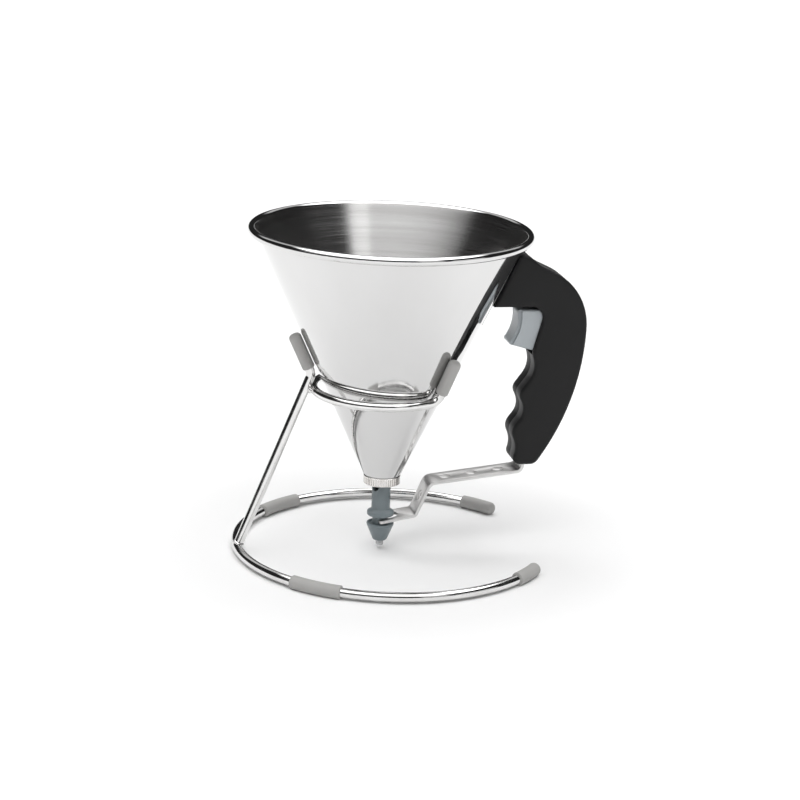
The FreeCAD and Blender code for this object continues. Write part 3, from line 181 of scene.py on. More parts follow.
def round_edges(piece, wanted, width, segments):
    """A rounding on the edges that pass a test."""
    with chosen(piece, "EDGE", wanted):
        bpy.ops.mesh.bevel(offset=width * MM, segments=segments, affect="EDGES")


def soften(piece, width, segments, angle):
    """A fine rounding on every edge that turns by more than an angle."""
    modify(piece, "BEVEL", width=width * MM, segments=segments, limit_method="ANGLE",
           angle_limit=math.radians(angle), use_clamp_overlap=True)


def cut_away(piece, *cutters):
    for cutter in cutters:
        modify(piece, "BOOLEAN", operation="DIFFERENCE", object=cutter, solver="EXACT")
        bpy.data.objects.remove(cutter)


def grow(piece, *others):
    for other in others:
        modify(piece, "BOOLEAN", operation="UNION", object=other, solver="EXACT")
        bpy.data.objects.remove(other)


def joined(first, *others):
    """Several meshes as one object."""
    only(first)
    for other in others:
        other.select_set(True)
    bpy.ops.object.join()
    return first


def finish_piece(piece, node, *materials, smooth=30):
    """The piece takes a node's place: its body and its materials."""
    piece.name = node + "_made"
    piece.data.name = piece.name
    settle(piece)
    bpy.ops.object.shade_smooth_by_angle(angle=math.radians(smooth))
    for material in materials:
        piece.data.materials.append(material)
    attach(piece, BODY_OF[node])
    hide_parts(node)
    return piece


# Ways to make a shape

def turned(rings, steps=128):
    """A closed section turned about the funnel's axis, ring by ring (radius, height).

    A ring on the axis is drawn with the least radius, and merges into a pole.
    """
    least, seam = 0.0005, 0.002
    radius, height = rings[0]
    bpy.ops.object.select_all(action="DESELECT")
    bpy.ops.mesh.primitive_circle_add(
        vertices=steps, radius=max(radius, least) * MM, location=spot(0, 0, height))
    piece = bpy.context.object
    settle(piece)
    with chosen(piece):
        for next_radius, next_height in rings[1:] + rings[:1]:
            bpy.ops.mesh.extrude_region_move(
                TRANSFORM_OT_translate={"value": (0, 0, (next_height - height) * MM)})
            share = max(next_radius, least) / max(radius, least)
            bpy.ops.transform.resize(value=(share, share, 1), center_override=spot(0, 0, next_height))
            radius, height = next_radius, next_height
    close_up(piece, gap=seam)
    return piece


def arc(centre, radius, first, last, steps):
    """Points (across, up) on an arc, angles in degrees."""
    angles = [math.radians(first + (last - first) * i / steps) for i in range(steps + 1)]
    return [(centre[0] + radius * math.cos(a), centre[1] + radius * math.sin(a)) for a in angles]


def rounded(corners, fineness=6):
    """A closed outline through corners (across, up, radius), each with a radius an arc."""
    straight = 0.002
    points = []
    for index, (x, z, radius) in enumerate(corners):
        here = Vector((x, z))
        back = (Vector(corners[index - 1][:2]) - here).normalized()
        ahead = (Vector(corners[(index + 1) % len(corners)][:2]) - here).normalized()
        turn = math.pi - back.angle(ahead)
        if not radius or turn < straight:
            points.append((x, z))
            continue
        reach = radius * math.tan(turn / 2)
        start, end = here + back * reach, here + ahead * reach
        middle = here + (back + ahead).normalized() * (radius / math.cos(turn / 2))
        first = math.atan2(start.y - middle.y, start.x - middle.x)
        sweep = math.atan2(end.y - middle.y, end.x - middle.x) - first
        sweep = (sweep + math.pi) % (2 * math.pi) - math.pi
        steps = max(2, int(math.degrees(turn) / fineness))
        points += arc(middle, radius, math.degrees(first), math.degrees(first + sweep), steps)
    return points


def drawn(points):
    """A closed line drawn point by point and filled with one face."""
    bpy.ops.object.select_all(action="DESELECT")
    bpy.ops.mesh.primitive_plane_add(size=MM, location=points[0])
    piece = bpy.context.object
    settle(piece)
    with chosen(piece):
        bpy.ops.mesh.merge(type="CENTER")
        for here, after in zip(points, points[1:]):
            bpy.ops.mesh.extrude_region_move(TRANSFORM_OT_translate={"value": after - here})
        bpy.ops.mesh.select_all(action="SELECT")
        bpy.ops.mesh.edge_face_add()
    return piece


def pulled(points, move):
    """A drawn face pulled out into a solid."""
    piece = drawn(points)
    with chosen(piece, "FACE"):
        bpy.ops.mesh.extrude_region_move(TRANSFORM_OT_translate={"value": move})
    close_up(piece)
    return piece


def plate(outline, start, end):
    """A side view (x, z) pulled out along Y between two levels."""
    return pulled([spot(x, start, z) for x, z in outline], Vector((0, (end - start) * MM, 0)))


def block(low, high):
    """A box between two corners, used to cut."""
    return plate([(low[0], low[2]), (high[0], low[2]), (high[0], high[2]), (low[0], high[2])],
                 low[1], high[1])


def bar(centre, direction, diameter, length, steps=48):
    """A round bar, used to cut holes and to start pins."""
    bpy.ops.object.select_all(action="DESELECT")
    bpy.ops.mesh.primitive_cylinder_add(
        vertices=steps, radius=diameter / 2 * MM, depth=length * MM, location=spot(*centre),
        rotation=Vector(direction).to_track_quat("Z", "Y").to_euler())
    piece = bpy.context.object
    settle(piece)
    return piece


def ball(centre, size, direction=(0, 0, 1)):
    """A flattened ball, used for dents and weld beads. The size holds its three radii."""
    around = 24
    bpy.ops.object.select_all(action="DESELECT")
    bpy.ops.mesh.primitive_uv_sphere_add(
        segments=around, ring_count=around // 2, radius=MM, location=spot(*centre),
        rotation=Vector(direction).to_track_quat("Z", "Y").to_euler())
    piece = bpy.context.object
    piece.scale = size
    settle(piece)
    return piece


def wire(points, diameter, shares=None):
    """A round bar along a path, with a share of its radius at each point."""
    curve = bpy.data.curves.new("wire", "CURVE")
    curve.dimensions = "3D"
    curve.bevel_depth = diameter / 2 * MM
    curve.bevel_resolution = 8
    curve.use_fill_caps = True
    spline = curve.splines.new("POLY")
    spline.points.add(len(points) - 1)
    for index, point in enumerate(points):
        spline.points[index].co = (*spot(*point), 1)
        spline.points[index].radius = shares[index] if shares else 1
    piece = bpy.data.objects.new("wire", curve)
    bpy.context.scene.collection.objects.link(piece)
    only(piece)
    bpy.ops.object.convert(target="MESH")
    piece = bpy.context.object
    close_up(piece)
    return piece


# Finishes

MOST_OF_NOISE = (0.3, 0.7)


def set_range(node, *numbers):
    """The numbers of a Map Range node: the range read, and the range that it becomes."""
    for socket, number in zip(("From Min", "From Max", "To Min", "To Max"), numbers):
        node.inputs[socket].default_value = number


class Finish:
    """A node material that is built up on the Principled shader, on Object coordinates."""

    def __init__(self, name, roughness, **settings):
        self.material = bpy.data.materials.new(name)
        self.material.use_nodes = True
        self.nodes = self.material.node_tree.nodes
        self.links = self.material.node_tree.links
        self.shader = self.nodes["Principled BSDF"]
        self.shader.inputs["Roughness"].default_value = roughness
        for socket, value in settings.items():
            self.shader.inputs[socket.replace("_", " ")].default_value = value
        self.place = self.nodes.new("ShaderNodeTexCoord").outputs["Object"]

    def noise(self, scale, detail, stretch=(1, 1, 1)):
        """Noise with so many features to the metre, closer together where the stretch is high."""
        mapping = self.nodes.new("ShaderNodeMapping")
        mapping.inputs["Scale"].default_value = stretch
        self.links.new(self.place, mapping.inputs["Vector"])
        texture = self.nodes.new("ShaderNodeTexNoise")
        texture.inputs["Scale"].default_value = scale
        texture.inputs["Detail"].default_value = detail
        self.links.new(mapping.outputs["Vector"], texture.inputs["Vector"])
        return texture.outputs["Fac"]

    def ranged(self, value, low, high):
        """The middle of a noise spread over a range of roughness."""
        spread = self.nodes.new("ShaderNodeMapRange")
        set_range(spread, *MOST_OF_NOISE, low, high)
        self.links.new(value, spread.inputs["Value"])
        self.links.new(spread.outputs["Result"], self.shader.inputs["Roughness"])

    def tinted(self, value, dark, light):
        """The middle of a noise spread between two colours."""
        ramp = self.nodes.new("ShaderNodeValToRGB")
        low, high = ramp.color_ramp.elements
        low.position, high.position = MOST_OF_NOISE
        low.color, high.color = (*dark, 1), (*light, 1)
        self.links.new(value, ramp.inputs["Fac"])
        self.links.new(ramp.outputs["Color"], self.shader.inputs["Base Color"])

    def bumped(self, value, height):
        """A noise as relief, in millimetres."""
        bump = self.nodes.new("ShaderNodeBump")
        bump.inputs["Distance"].default_value = height * MM
        self.links.new(value, bump.inputs["Height"])
        self.links.new(bump.outputs["Normal"], self.shader.inputs["Normal"])


def grey(level, warmth=0.0):
    return (level * (1 + warmth), level, level * (1 - warmth))


def polished_sheet():
    """Mirror polish with faint waves and wiping marks."""
    finish = Finish("polished_sheet", 0.05, Metallic=1.0)
    wiping = finish.noise(38, 4, (1, 1, 0.35))
    finish.tinted(wiping, grey(0.690, 0.004), grey(0.715, 0.002))
    finish.ranged(wiping, 0.035, 0.085)
    finish.bumped(finish.noise(55, 2), 0.010)
    return finish.material


def brushed_sheet():
    """Sheet brushed round and round, so that reflections run up and down the wall."""
    finish = Finish("brushed_sheet", 0.2, Metallic=1.0, Anisotropic=0.5, Anisotropic_Rotation=0.25)
    finish.tinted(finish.noise(12, 4, (0.35, 0.35, 22)), grey(0.56, 0.012), grey(0.68, 0.006))
    lines = finish.noise(70, 5, (0.3, 0.3, 45))
    finish.ranged(lines, 0.13, 0.26)
    finish.bumped(lines, 0.004)
    tangent = finish.nodes.new("ShaderNodeTangent")
    tangent.direction_type = "RADIAL"
    tangent.axis = "Z"
    finish.links.new(tangent.outputs["Tangent"], finish.shader.inputs["Tangent"])
    return finish.material


def bright_bar():
    """Drawn and polished wire."""
    finish = Finish("bright_bar", 0.1, Metallic=1.0)
    marks = finish.noise(90, 4)
    finish.tinted(marks, grey(0.70, 0.01), grey(0.82, 0.005))
    finish.ranged(marks, 0.06, 0.16)
    finish.bumped(finish.noise(260, 3), 0.008)
    return finish.material


def satin_strip():
    """Stamped strip with a fine grain along its length."""
    finish = Finish("satin_strip", 0.45, Metallic=1.0)
    grain = finish.noise(420, 4, (0.12, 4.0, 0.12))
    finish.tinted(grain, grey(0.66, 0.012), grey(0.78, 0.008))
    finish.ranged(grain, 0.40, 0.52)
    finish.bumped(grain, 0.010)
    return finish.material


def plated_nut():
    finish = Finish("plated_nut", 0.22, Metallic=1.0)
    marks = finish.noise(300, 3)
    finish.tinted(marks, grey(0.66, 0.03), grey(0.80, 0.02))
    finish.ranged(marks, 0.16, 0.28)
    finish.bumped(finish.noise(900, 2), 0.008)
    return finish.material


def lathe_turned():
    """Fine rings left by the tool."""
    finish = Finish("lathe_turned", 0.28, Metallic=1.0)
    rings = finish.noise(500, 2, (0.1, 0.1, 5))
    finish.tinted(rings, grey(0.58), grey(0.70))
    finish.ranged(rings, 0.22, 0.34)
    finish.bumped(rings, 0.010)
    return finish.material


def zinc_coat():
    finish = Finish("zinc_coat", 0.3, Metallic=1.0)
    bloom = finish.noise(700, 4)
    finish.tinted(bloom, grey(0.55), grey(0.72))
    finish.ranged(bloom, 0.2, 0.4)
    finish.bumped(bloom, 0.006)
    return finish.material


def moulded(name, dark, light, roughness, texture, scale=2200, gloss=0.5):
    """Moulded plastic or rubber with slight flow marks and a fine surface texture."""
    finish = Finish(name, roughness, Specular_IOR_Level=gloss)
    flow = finish.noise(30, 3)
    finish.tinted(flow, dark, light)
    finish.ranged(flow, roughness * 0.9, roughness * 1.1)
    finish.bumped(finish.noise(scale, 3), texture)
    return finish.material


def clear_plastic():
    finish = Finish("clear_plastic", 0.25, Transmission_Weight=0.6, IOR=1.45)
    clouds = finish.noise(300, 2)
    finish.tinted(clouds, (0.84, 0.85, 0.86), (0.92, 0.93, 0.94))
    finish.ranged(clouds, 0.2, 0.32)
    return finish.material


POLISHED = polished_sheet()
BRUSHED = brushed_sheet()
BAR = bright_bar()
SATIN = satin_strip()
NUT = plated_nut()
TURNED = lathe_turned()
ZINC = zinc_coat()
HANDLE = moulded("handle_black", (0.0085, 0.0085, 0.0090), (0.0120, 0.0120, 0.0124), 0.50, 0.022,
                 scale=1500, gloss=0.24)
TRIGGER = moulded("trigger_grey", (0.415, 0.450, 0.475), (0.445, 0.480, 0.500), 0.36, 0.008)
VALVE = moulded("valve_grey", (0.180, 0.216, 0.232), (0.200, 0.236, 0.250), 0.36, 0.006)
BUSH = moulded("bush_white", (0.76, 0.75, 0.72), (0.80, 0.79, 0.76), 0.40, 0.006)
RUBBER = moulded("grey_rubber", (0.385, 0.380, 0.370), (0.430, 0.425, 0.415), 0.62, 0.030,
                 scale=1800, gloss=0.35)
SEAL = moulded("seal_rubber", (0.020, 0.020, 0.020), (0.030, 0.030, 0.030), 0.60, 0.010)
CLEAR = clear_plastic()


# Funnel

def funnel_cone():
    """Polished outside, rolled rim, brushed inside."""
    start = 180 - math.degrees(CONE_ANGLE)
    end = -125
    roll = (RIM_RADIUS, RIM_Z)
    wall_top, rows = RIM_Z - 1, 10
    levels = [CONE_LOW + (wall_top - CONE_LOW) * i / rows for i in range(rows + 1)]
    rings = [(cone_radius(z), z) for z in levels]
    rings += arc(roll, ROLL_INNER, start, end, 28)[1:]
    rings += arc(roll, RIM_ROLL / 2, end, start, 36)
    rings += [(cone_radius(z) - WALL_ACROSS, z) for z in reversed(levels)]
    piece = turned(rings, steps=192)
    finish_piece(piece, "funnel_cone", POLISHED, BRUSHED, smooth=40)
    facing_in = 0.2
    wall_edge = cone_radius(wall_top) - SHEET / 2
    for face in piece.data.polygons:
        centre = face.center / MM - AXIS
        away = Vector((centre.x, centre.y, 0))
        if face.normal.dot(away.normalized()) < -facing_in and away.length < wall_edge:
            face.material_index = 1


def outlet_parts():
    """Collar, bush and seal: seen from above, at the bottom of the cone."""
    ease, chamfer = 0.15, 0.3
    foot_radius = OUTLET_RADIUS - WALL_ACROSS - FIT_GAP
    low, top = collar_low.z, collar_high.z
    top_radius = cone_radius(top) - WALL_ACROSS - FIT_GAP
    spigot, bore, lip, lip_depth = 7.8, 6.5, 5.25, 1.1
    collar = turned([(bore, low), (spigot - chamfer, low), (spigot, low + chamfer), (spigot, CONE_LOW),
                     (foot_radius, CONE_LOW), (top_radius, top - ease), (top_radius - ease, top),
                     (bore + lip_depth, top), (lip, top - lip_depth / 2), (lip, top - lip_depth),
                     (bore, top - lip_depth)])
    finish_piece(collar, "outlet_collar", TURNED)
    foot, head = bush_low.z, bush_high.z
    tube, body, flange, flange_depth = 4.9, 6.48, 7.4, 1
    bush = turned([(tube + chamfer, foot), (flange - ease, foot), (flange, foot + ease),
                   (flange, foot + flange_depth), (body, foot + flange_depth), (body, head), (tube, head),
                   (tube, foot + chamfer)])
    finish_piece(bush, "guide_bush", BUSH)
    thick, soft = 1.4, 0.35
    seal = turned([(tube + soft, head), (body, head), (body, head + thick), (tube + soft, head + thick),
                   (tube + 0.05, head + thick - soft), (tube, head + thick / 2),
                   (tube + 0.05, head + soft)])
    finish_piece(seal, "seal_ring", SEAL)


def ring_nut():
    """Union nut, knurled straight between two plain edges."""
    low, high, outside = nut_low.z, nut_high.z, nut_high.x
    thread, lip, thick = 7.85, 5.8, 1.2
    flutes, across, margin, depth = 48, 4, 0.10, 0.33
    edge, ease, chamfer = 0.55, 0.3, 0.2
    piece = turned([(lip, low + chamfer), (lip + chamfer, low), (outside - ease, low),
                    (outside, low + ease), (outside, low + edge), (outside, high - edge),
                    (outside, high - ease), (outside - ease, high), (thread, high),
                    (thread, low + thick), (lip, low + thick)], steps=flutes * across)
    middle = (low + high) / 2

    def in_flute(face):
        centre = face.center / MM - AXIS
        step = int(math.atan2(centre.y, centre.x) / (2 * math.pi) * flutes * across + flutes * across)
        on_band = abs(centre.z - middle) < edge and math.hypot(centre.x, centre.y) > outside - ease
        return on_band and step % across < across / 2

    with chosen(piece, "FACE", in_flute):
        bpy.ops.mesh.inset(thickness=margin * MM, depth=-depth * MM)
    finish_piece(piece, "ring_nut", NUT, smooth=25)


# Valve

def valve_tube():
    """Sliding tube with its rounded head, a window through it, flange and neck."""
    foot, top = tube_low.z, tube_high.z
    tube, bore, neck, flange = 4.85, 3.5, 4.2, 7.05
    flange_low = 18.6
    flange_high = flange_low + 2.2
    shoulder, head = 1.4, 1.5
    window_low, window_high, half, window_turn = 32.3, 40.3, 2.5, 33
    rings = [(bore, foot), (neck, foot), (neck, flange_low), (flange - 0.7, flange_low),
             (flange - 0.2, flange_low + 0.12), (flange, flange_low + 0.45), (flange, flange_high - 0.4),
             (flange - 0.15, flange_high - 0.1), (flange - 0.45, flange_high + 0.05),
             (tube + 0.25, flange_high + shoulder - 0.3), (tube, flange_high + shoulder)]
    rings += [(tube, window_low - 1), (tube, window_high + 1)]
    rings += arc((tube - head, top - head), head, 0, 90, 6)
    rings += [(0, top), (0, window_high + 1), (bore, window_high)]
    piece = turned(rings, steps=96)
    turn = math.radians(window_turn)
    across = Vector((math.cos(turn), math.sin(turn), 0))
    side = Vector((-across.y, across.x, 0))
    outline = [(-half, window_high), (half, window_high)]
    outline += arc((0, window_low + half), half, 0, -180, 16)
    start = -across * flange * 2
    window = pulled([spot(*(start + side * y + Vector((0, 0, z)))) for y, z in outline],
                    across * flange * 4 * MM)
    cut_away(piece, window)
    finish_piece(piece, "valve_tube", VALVE, smooth=28)


def nozzle():
    """Tapered nozzle with a dished top, and the clear tip in its foot."""
    low, high = nozzle_low.z, nozzle_high.z
    tip, bore, socket = 1.95, 1.3, 1.97
    neck, neck_depth = 4.22, 4.22
    foot, lip = 3.9, 7.1
    dish = high - 0.7
    socket_top = low + 3.02
    piece = turned([(socket, low), (foot - 0.9, low), (foot - 0.35, low + 0.15), (foot, low + 0.6),
                    (lip - 0.12, high - 1.2), (lip, high - 0.95), (lip, high - 0.35),
                    (lip - 0.1, high - 0.1), (lip - 0.35, high), (lip - 1.0, high),
                    (lip - 1.3, high - 0.3), (lip - 1.4, dish), (neck, dish), (neck, dish - neck_depth),
                    (bore, socket_top), (socket, socket_top)], steps=96)
    finish_piece(piece, "nozzle_cone", VALVE)
    low, high = tip_low.z, tip_high.z
    piece = turned([(bore, low), (tip - 0.35, low), (tip - 0.1, low + 0.1), (tip, low + 0.35),
                    (tip, high), (bore, high)], steps=64)
    finish_piece(piece, "nozzle_tip", CLEAR)


# Handle

HEAD_LOW = 131.0
HEAD_TOP = 158.6
GRIP_HALF = shell_high.y
HEAD_GAP = STRIP / math.cos(CONE_ANGLE) + 0.4
REACH = shell_high.x
FOOT = shell_low.z
BAY_LEFT, BAY_LOW, BAY_RIGHT, BAY_HIGH = 71.2, 105.4, 98.0, 130.4
SCREWS = [(REACH - 38.5, HEAD_LOW + 7), (REACH - 34.0, HEAD_LOW + 16),
          (REACH - 8.7, 94.0), (REACH - 19.2, 66.0)]
SCREW_SEAT = 6.1


def handle_outline():
    """Side view of the handle, going down the finger side and up the back."""
    low_rise, low_run = 73.4, 23.7
    high_rise, high_run = 29.1, 18.7
    back = FOOT + low_rise
    low_radius = (low_run ** 2 + low_rise ** 2) / (2 * low_run)
    high_radius = (high_run ** 2 + high_rise ** 2) / (2 * high_run)
    shoulder = 7.5
    corners = [(cone_radius(HEAD_LOW) + HEAD_GAP, HEAD_LOW, 0), (REACH - 22.0, HEAD_LOW, 6.0),
               (REACH - 28.3, HEAD_LOW - 24.0, 2.4), (REACH - 25.8, HEAD_LOW - 34.0, 13.0),
               (REACH - 34.6, HEAD_LOW - 46.2, 5.0), (REACH - 30.0, HEAD_LOW - 55.6, 9.5),
               (REACH - 37.8, HEAD_LOW - 65.8, 7.0), (REACH - 34.0, HEAD_LOW - 74.7, 12.0),
               (REACH - 36.8, FOOT, 4.0), (REACH - low_run, FOOT, 5.0)]
    low_sweep = math.degrees(math.asin(low_rise / low_radius))
    high_sweep = math.degrees(math.asin(high_rise / high_radius))
    back_line = arc((REACH - low_radius, back), low_radius, -low_sweep, 0, 20)[1:]
    back_line += arc((REACH - high_radius, back), high_radius, 0, high_sweep, 16)[1:]
    corners += [(x, z, 0) for x, z in back_line]
    climb = shoulder * (high_radius - high_run) / high_rise
    corners += [(REACH - high_run - shoulder, back + high_rise + climb, 12.0),
                (REACH - 32.3, HEAD_TOP - 1.0, 8.0), (cone_radius(HEAD_TOP) + HEAD_GAP, HEAD_TOP, 2.4)]
    return rounded(corners)


def handle_shell(node, hand):
    """One moulded half. The hand is 1 on the side with the screws and -1 on the plain side."""
    face = hand * GRIP_HALF
    edge, parting = 1.8, 0.22
    bay_depth, channel_depth, mouth_depth = 6.8, 4.9, 7.5
    piece = plate(handle_outline(), 0, face)
    round_edges(piece, at_level(piece, face), edge, 7)
    round_edges(piece, at_level(piece, 0), parting, 2)
    heel = Vector((cone_radius(HEAD_LOW) + HEAD_GAP, HEAD_LOW))
    at_heel = edge_ends(piece, lambda at: math.hypot(at.x - heel.x, at.z - heel.y) < CLOSE)
    round_edges(piece, at_heel, parting * 2, 3)
    over = -hand
    ahead, lead, corner = BAY_LEFT - 6, 2, 6
    bay = [(ahead, BAY_LOW), (BAY_RIGHT - lead, BAY_LOW), (BAY_RIGHT, BAY_LOW + lead),
           (BAY_RIGHT, BAY_HIGH - corner), (BAY_RIGHT - corner, BAY_HIGH), (ahead, BAY_HIGH)]
    below, into_bay = 44.0, BAY_LOW + 1
    channel = [(71.4, below), (75.6, below), (76.0, 50.5), (80.8, 53.0), (87.2, into_bay),
               (77.6, into_bay), (72.4, 49.8)]
    mouth = [(70.8, below), (75.2, below), (75.4, 49.8), (71.8, 49.8)]
    cutters = [plate(outline, over, hand * depth)
               for outline, depth in ((bay, bay_depth), (channel, channel_depth), (mouth, mouth_depth))]
    if hand > 0:
        seat, depth = 6.4, 2 * (GRIP_HALF - SCREW_SEAT)
        cutters += [bar((x, GRIP_HALF, z), (0, 1, 0), seat, depth) for x, z in SCREWS]
    cut_away(piece, *cutters)
    finish_piece(piece, node, HANDLE, smooth=32)


def handle_screws():
    """Four pan-head screws with a cross recess, sunk in one shell."""
    head, rise, shank, length = 5.6, 1.6, 3.0, 13.0
    slot, reach, depth = 0.62, 2.6, 0.9
    crown = 0.45
    made = []
    for x, z in SCREWS:
        top = bar((x, SCREW_SEAT + rise / 2, z), (0, 1, 0), head, rise)
        soften(top, crown, segments=4, angle=60)
        low, high = SCREW_SEAT + rise - depth, SCREW_SEAT + rise + 1
        cut_away(top, block((x - slot / 2, low, z - reach / 2), (x + slot / 2, high, z + reach / 2)),
                 block((x - reach / 2, low, z - slot / 2), (x + reach / 2, high, z + slot / 2)))
        made += [top, bar((x, SCREW_SEAT - length / 2, z), (0, 1, 0), shank, length, steps=32)]
    finish_piece(joined(*made), "handle_screws", ZINC)


def bracket():
    """Strip bent to the cone and spot-welded to it, with the plate inside the head."""
    low, high = bracket_low.z, bracket_high.z - 0.1
    across = STRIP / math.cos(CONE_ANGLE)
    half = math.radians(8)
    lean = Matrix.Rotation(-half, 3, "Z")
    corners = [(cone_radius(low) + FIT_GAP, 0, low), (cone_radius(low) + across, 0, low),
               (cone_radius(high) + across, 0, high), (cone_radius(high) + FIT_GAP, 0, high)]
    piece = drawn([spot(*(lean @ Vector(corner))) for corner in corners])
    with chosen(piece, "FACE"):
        bpy.ops.mesh.spin(steps=12, angle=-2 * half, center=spot(0, 0, 0), axis=(0, 0, 1))
    close_up(piece)
    soften(piece, 0.35, segments=3, angle=50)
    tang_low, tang_high, end, slope = HEAD_LOW + 3, HEAD_TOP - 5, REACH - 30, 6
    root = across / 2
    grow(piece, plate([(cone_radius(tang_low) + root, tang_low), (end, tang_low), (end, tang_high - slope),
                       (cone_radius(tang_high) + across + 5, tang_high),
                       (cone_radius(tang_high) + root, tang_high)], -STRIP, STRIP))
    dent_turn, dent_rise, dent_size = 6, 0.25, (1.1, 1.1, 0.6)
    for z in (low + 8, tang_high - 9, tang_high + 2):
        for turn in (-dent_turn, dent_turn):
            around = Matrix.Rotation(math.radians(turn), 3, "Z")
            away = around @ Vector((1, 0, -math.tan(CONE_ANGLE)))
            face = around @ Vector((cone_radius(z) + across, 0, z))
            cut_away(piece, ball(face + away * dent_rise, dent_size, away))
    finish_piece(piece, "handle_bracket", SATIN)


def trigger():
    """Moulded finger piece, hollow in front, with a groove in each side and a slot for the arm."""
    top, width, edge, hollow = 129.2, 6.5, 1.2, 22.0
    front = Vector((REACH - 36.8, top))
    beak = Vector((REACH - 41.2, top - 18.0))
    chord = beak - front
    side = Vector((chord.y, -chord.x)).normalized()
    centre = (front + beak) / 2 + side * math.sqrt(hollow ** 2 - chord.length ** 2 / 4)
    first = math.degrees(math.atan2(front.y - centre.y, front.x - centre.x))
    last = math.degrees(math.atan2(beak.y - centre.y, beak.x - centre.x))
    corners = [(front.x, front.y, 2.0)]
    corners += [(x, z, 0) for x, z in arc(centre, hollow, first, last, 14)[3:-2]]
    corners += [(beak.x, beak.y, 1.3), (REACH - 28.0, top - 21.6, 2.0), (REACH - 18.6, top - 19.0, 2.0),
                (REACH - 17.0, top, 6.0)]
    piece = plate(rounded(corners), -width, width)
    for level in (-width, width):
        round_edges(piece, at_level(piece, level), edge, 5)
    slot, slot_half = [(78.2, 105.0), (94, 105.0), (94, 127.6), (80.8, 127.6)], 4.52
    near, far, depth, short = hollow + 0.5, hollow + 2.1, 1.3, 8
    groove = arc(centre, near, first + short, last - short, 16)
    groove += arc(centre, far, last - short, first + short, 16)
    cutters = [plate(slot, -slot_half, slot_half)]
    cutters += [plate(groove, hand * width - depth * hand, hand * width + hand) for hand in (1, -1)]
    cut_away(piece, *cutters)
    finish_piece(piece, "trigger", TRIGGER, smooth=35)


# Lever

ARM_FOOT = (73.0, 42.8)
ARM_TOP = (81.4, 126.0)
LEVER_BENDS = [(-1.6, 16.15, 0), (17.3, 19.6, 2.35), (24.5, 36.8, 4.2), (*ARM_FOOT, 3.4), (*ARM_TOP, 0)]


def strip_side(side):
    """One face of the bent strip: the corners of its middle line, set off half the thickness."""
    half = STRIP / 2
    corners = []
    for index, (x, z, radius) in enumerate(LEVER_BENDS):
        here = Vector((x, z))
        into = here - Vector(LEVER_BENDS[index - 1][:2]) if index else None
        out = Vector(LEVER_BENDS[index + 1][:2]) - here if index + 1 < len(LEVER_BENDS) else into
        into = (into or out).normalized()
        out = out.normalized()
        lean = (into + out).normalized()
        across = Vector((-lean.y, lean.x)) * (side * half / into.dot(lean))
        is_inner = (side > 0) == (into.x * out.y > into.y * out.x)
        bend = radius + (-half if is_inner else half) if radius else 0
        corners.append((x + across.x, z + across.y, bend))
    return corners


def lever_strip():
    """One strip, bent three times, with a slotted fork and lightening holes."""
    half, arm_half, shoulder = 7.2, 4.5, 48.6
    hole, rivet_hole, slot, throat = 5.6, 3.04, 9.2, 4.6
    piece = plate(rounded(strip_side(-1) + strip_side(1)[::-1], fineness=8), -half, half)
    beside = half + 1.8
    cutters = [block((68, near, shoulder), (90, far, 130))
               for near, far in ((-beside, -arm_half), (arm_half, beside))]
    cutters += [bar((x, 0, 40), (0, 0, 1), hole, 20) for x in (33.6, 47.6, 61.6)]
    cutters += [bar((21, 0, 28.4), (1, 0, -0.42), hole, 14),
                bar((80, 0, 121.0), (1, 0, 0), rivet_hole, 10),
                bar((throat, 0, 17), (0, 0, 1), slot, 12, steps=64),
                block((-8, -slot / 2, 10), (throat, slot / 2, 24))]
    cut_away(piece, *cutters)

    def fork_corner(edge):
        ends = [place(piece.data.vertices[index]) for index in edge.vertices]
        outer = all(end.x < -1 and abs(abs(end.y) - half) < CLOSE for end in ends)
        return outer and abs(ends[0].z - ends[1].z) > STRIP / 2

    round_edges(piece, fork_corner, 1.2, 6)
    soften(piece, 0.16, segments=2, angle=50)
    finish_piece(piece, "lever_strip", SATIN)


# Stand

BASE_WIRE = base_high.z - base_low.z
BASE_RADIUS = (base_high.y - base_low.y - BASE_WIRE) / 2
BASE_SHIFT = base_low.x + BASE_WIRE / 2 + BASE_RADIUS
BASE_Z = (base_low.z + base_high.z) / 2
SLEEVE = 7.0
GAP_ANGLE = 35.0
PRONG_SLEEVE = 6.5
PRONG_LENGTH = 19.5
PRONG_ANGLE = 52
SLEEVE_END = 1.6
SLEEVE_ROUNDING = 0.3
CRADLE_WIRE = 4.8
CRADLE_Z = cradle_low.z + CRADLE_WIRE / 2
BEND = 5.0
LEG_LEAN = 0.395


def on_base(angle):
    turn = math.radians(angle)
    return Vector((BASE_SHIFT + BASE_RADIUS * math.cos(turn), BASE_RADIUS * math.sin(turn), BASE_Z))


def along_base(length):
    return math.degrees(length / BASE_RADIUS)


def base_ring():
    """Wire ring on the table, open at the front, with its ends inside the caps."""
    cap_wall, steps = 2, 180
    start = GAP_ANGLE + along_base(cap_wall)
    path = [on_base(start + (360 - 2 * start) * i / steps) for i in range(steps + 1)]
    finish_piece(wire(path, BASE_WIRE), "base_ring", BAR, smooth=40)


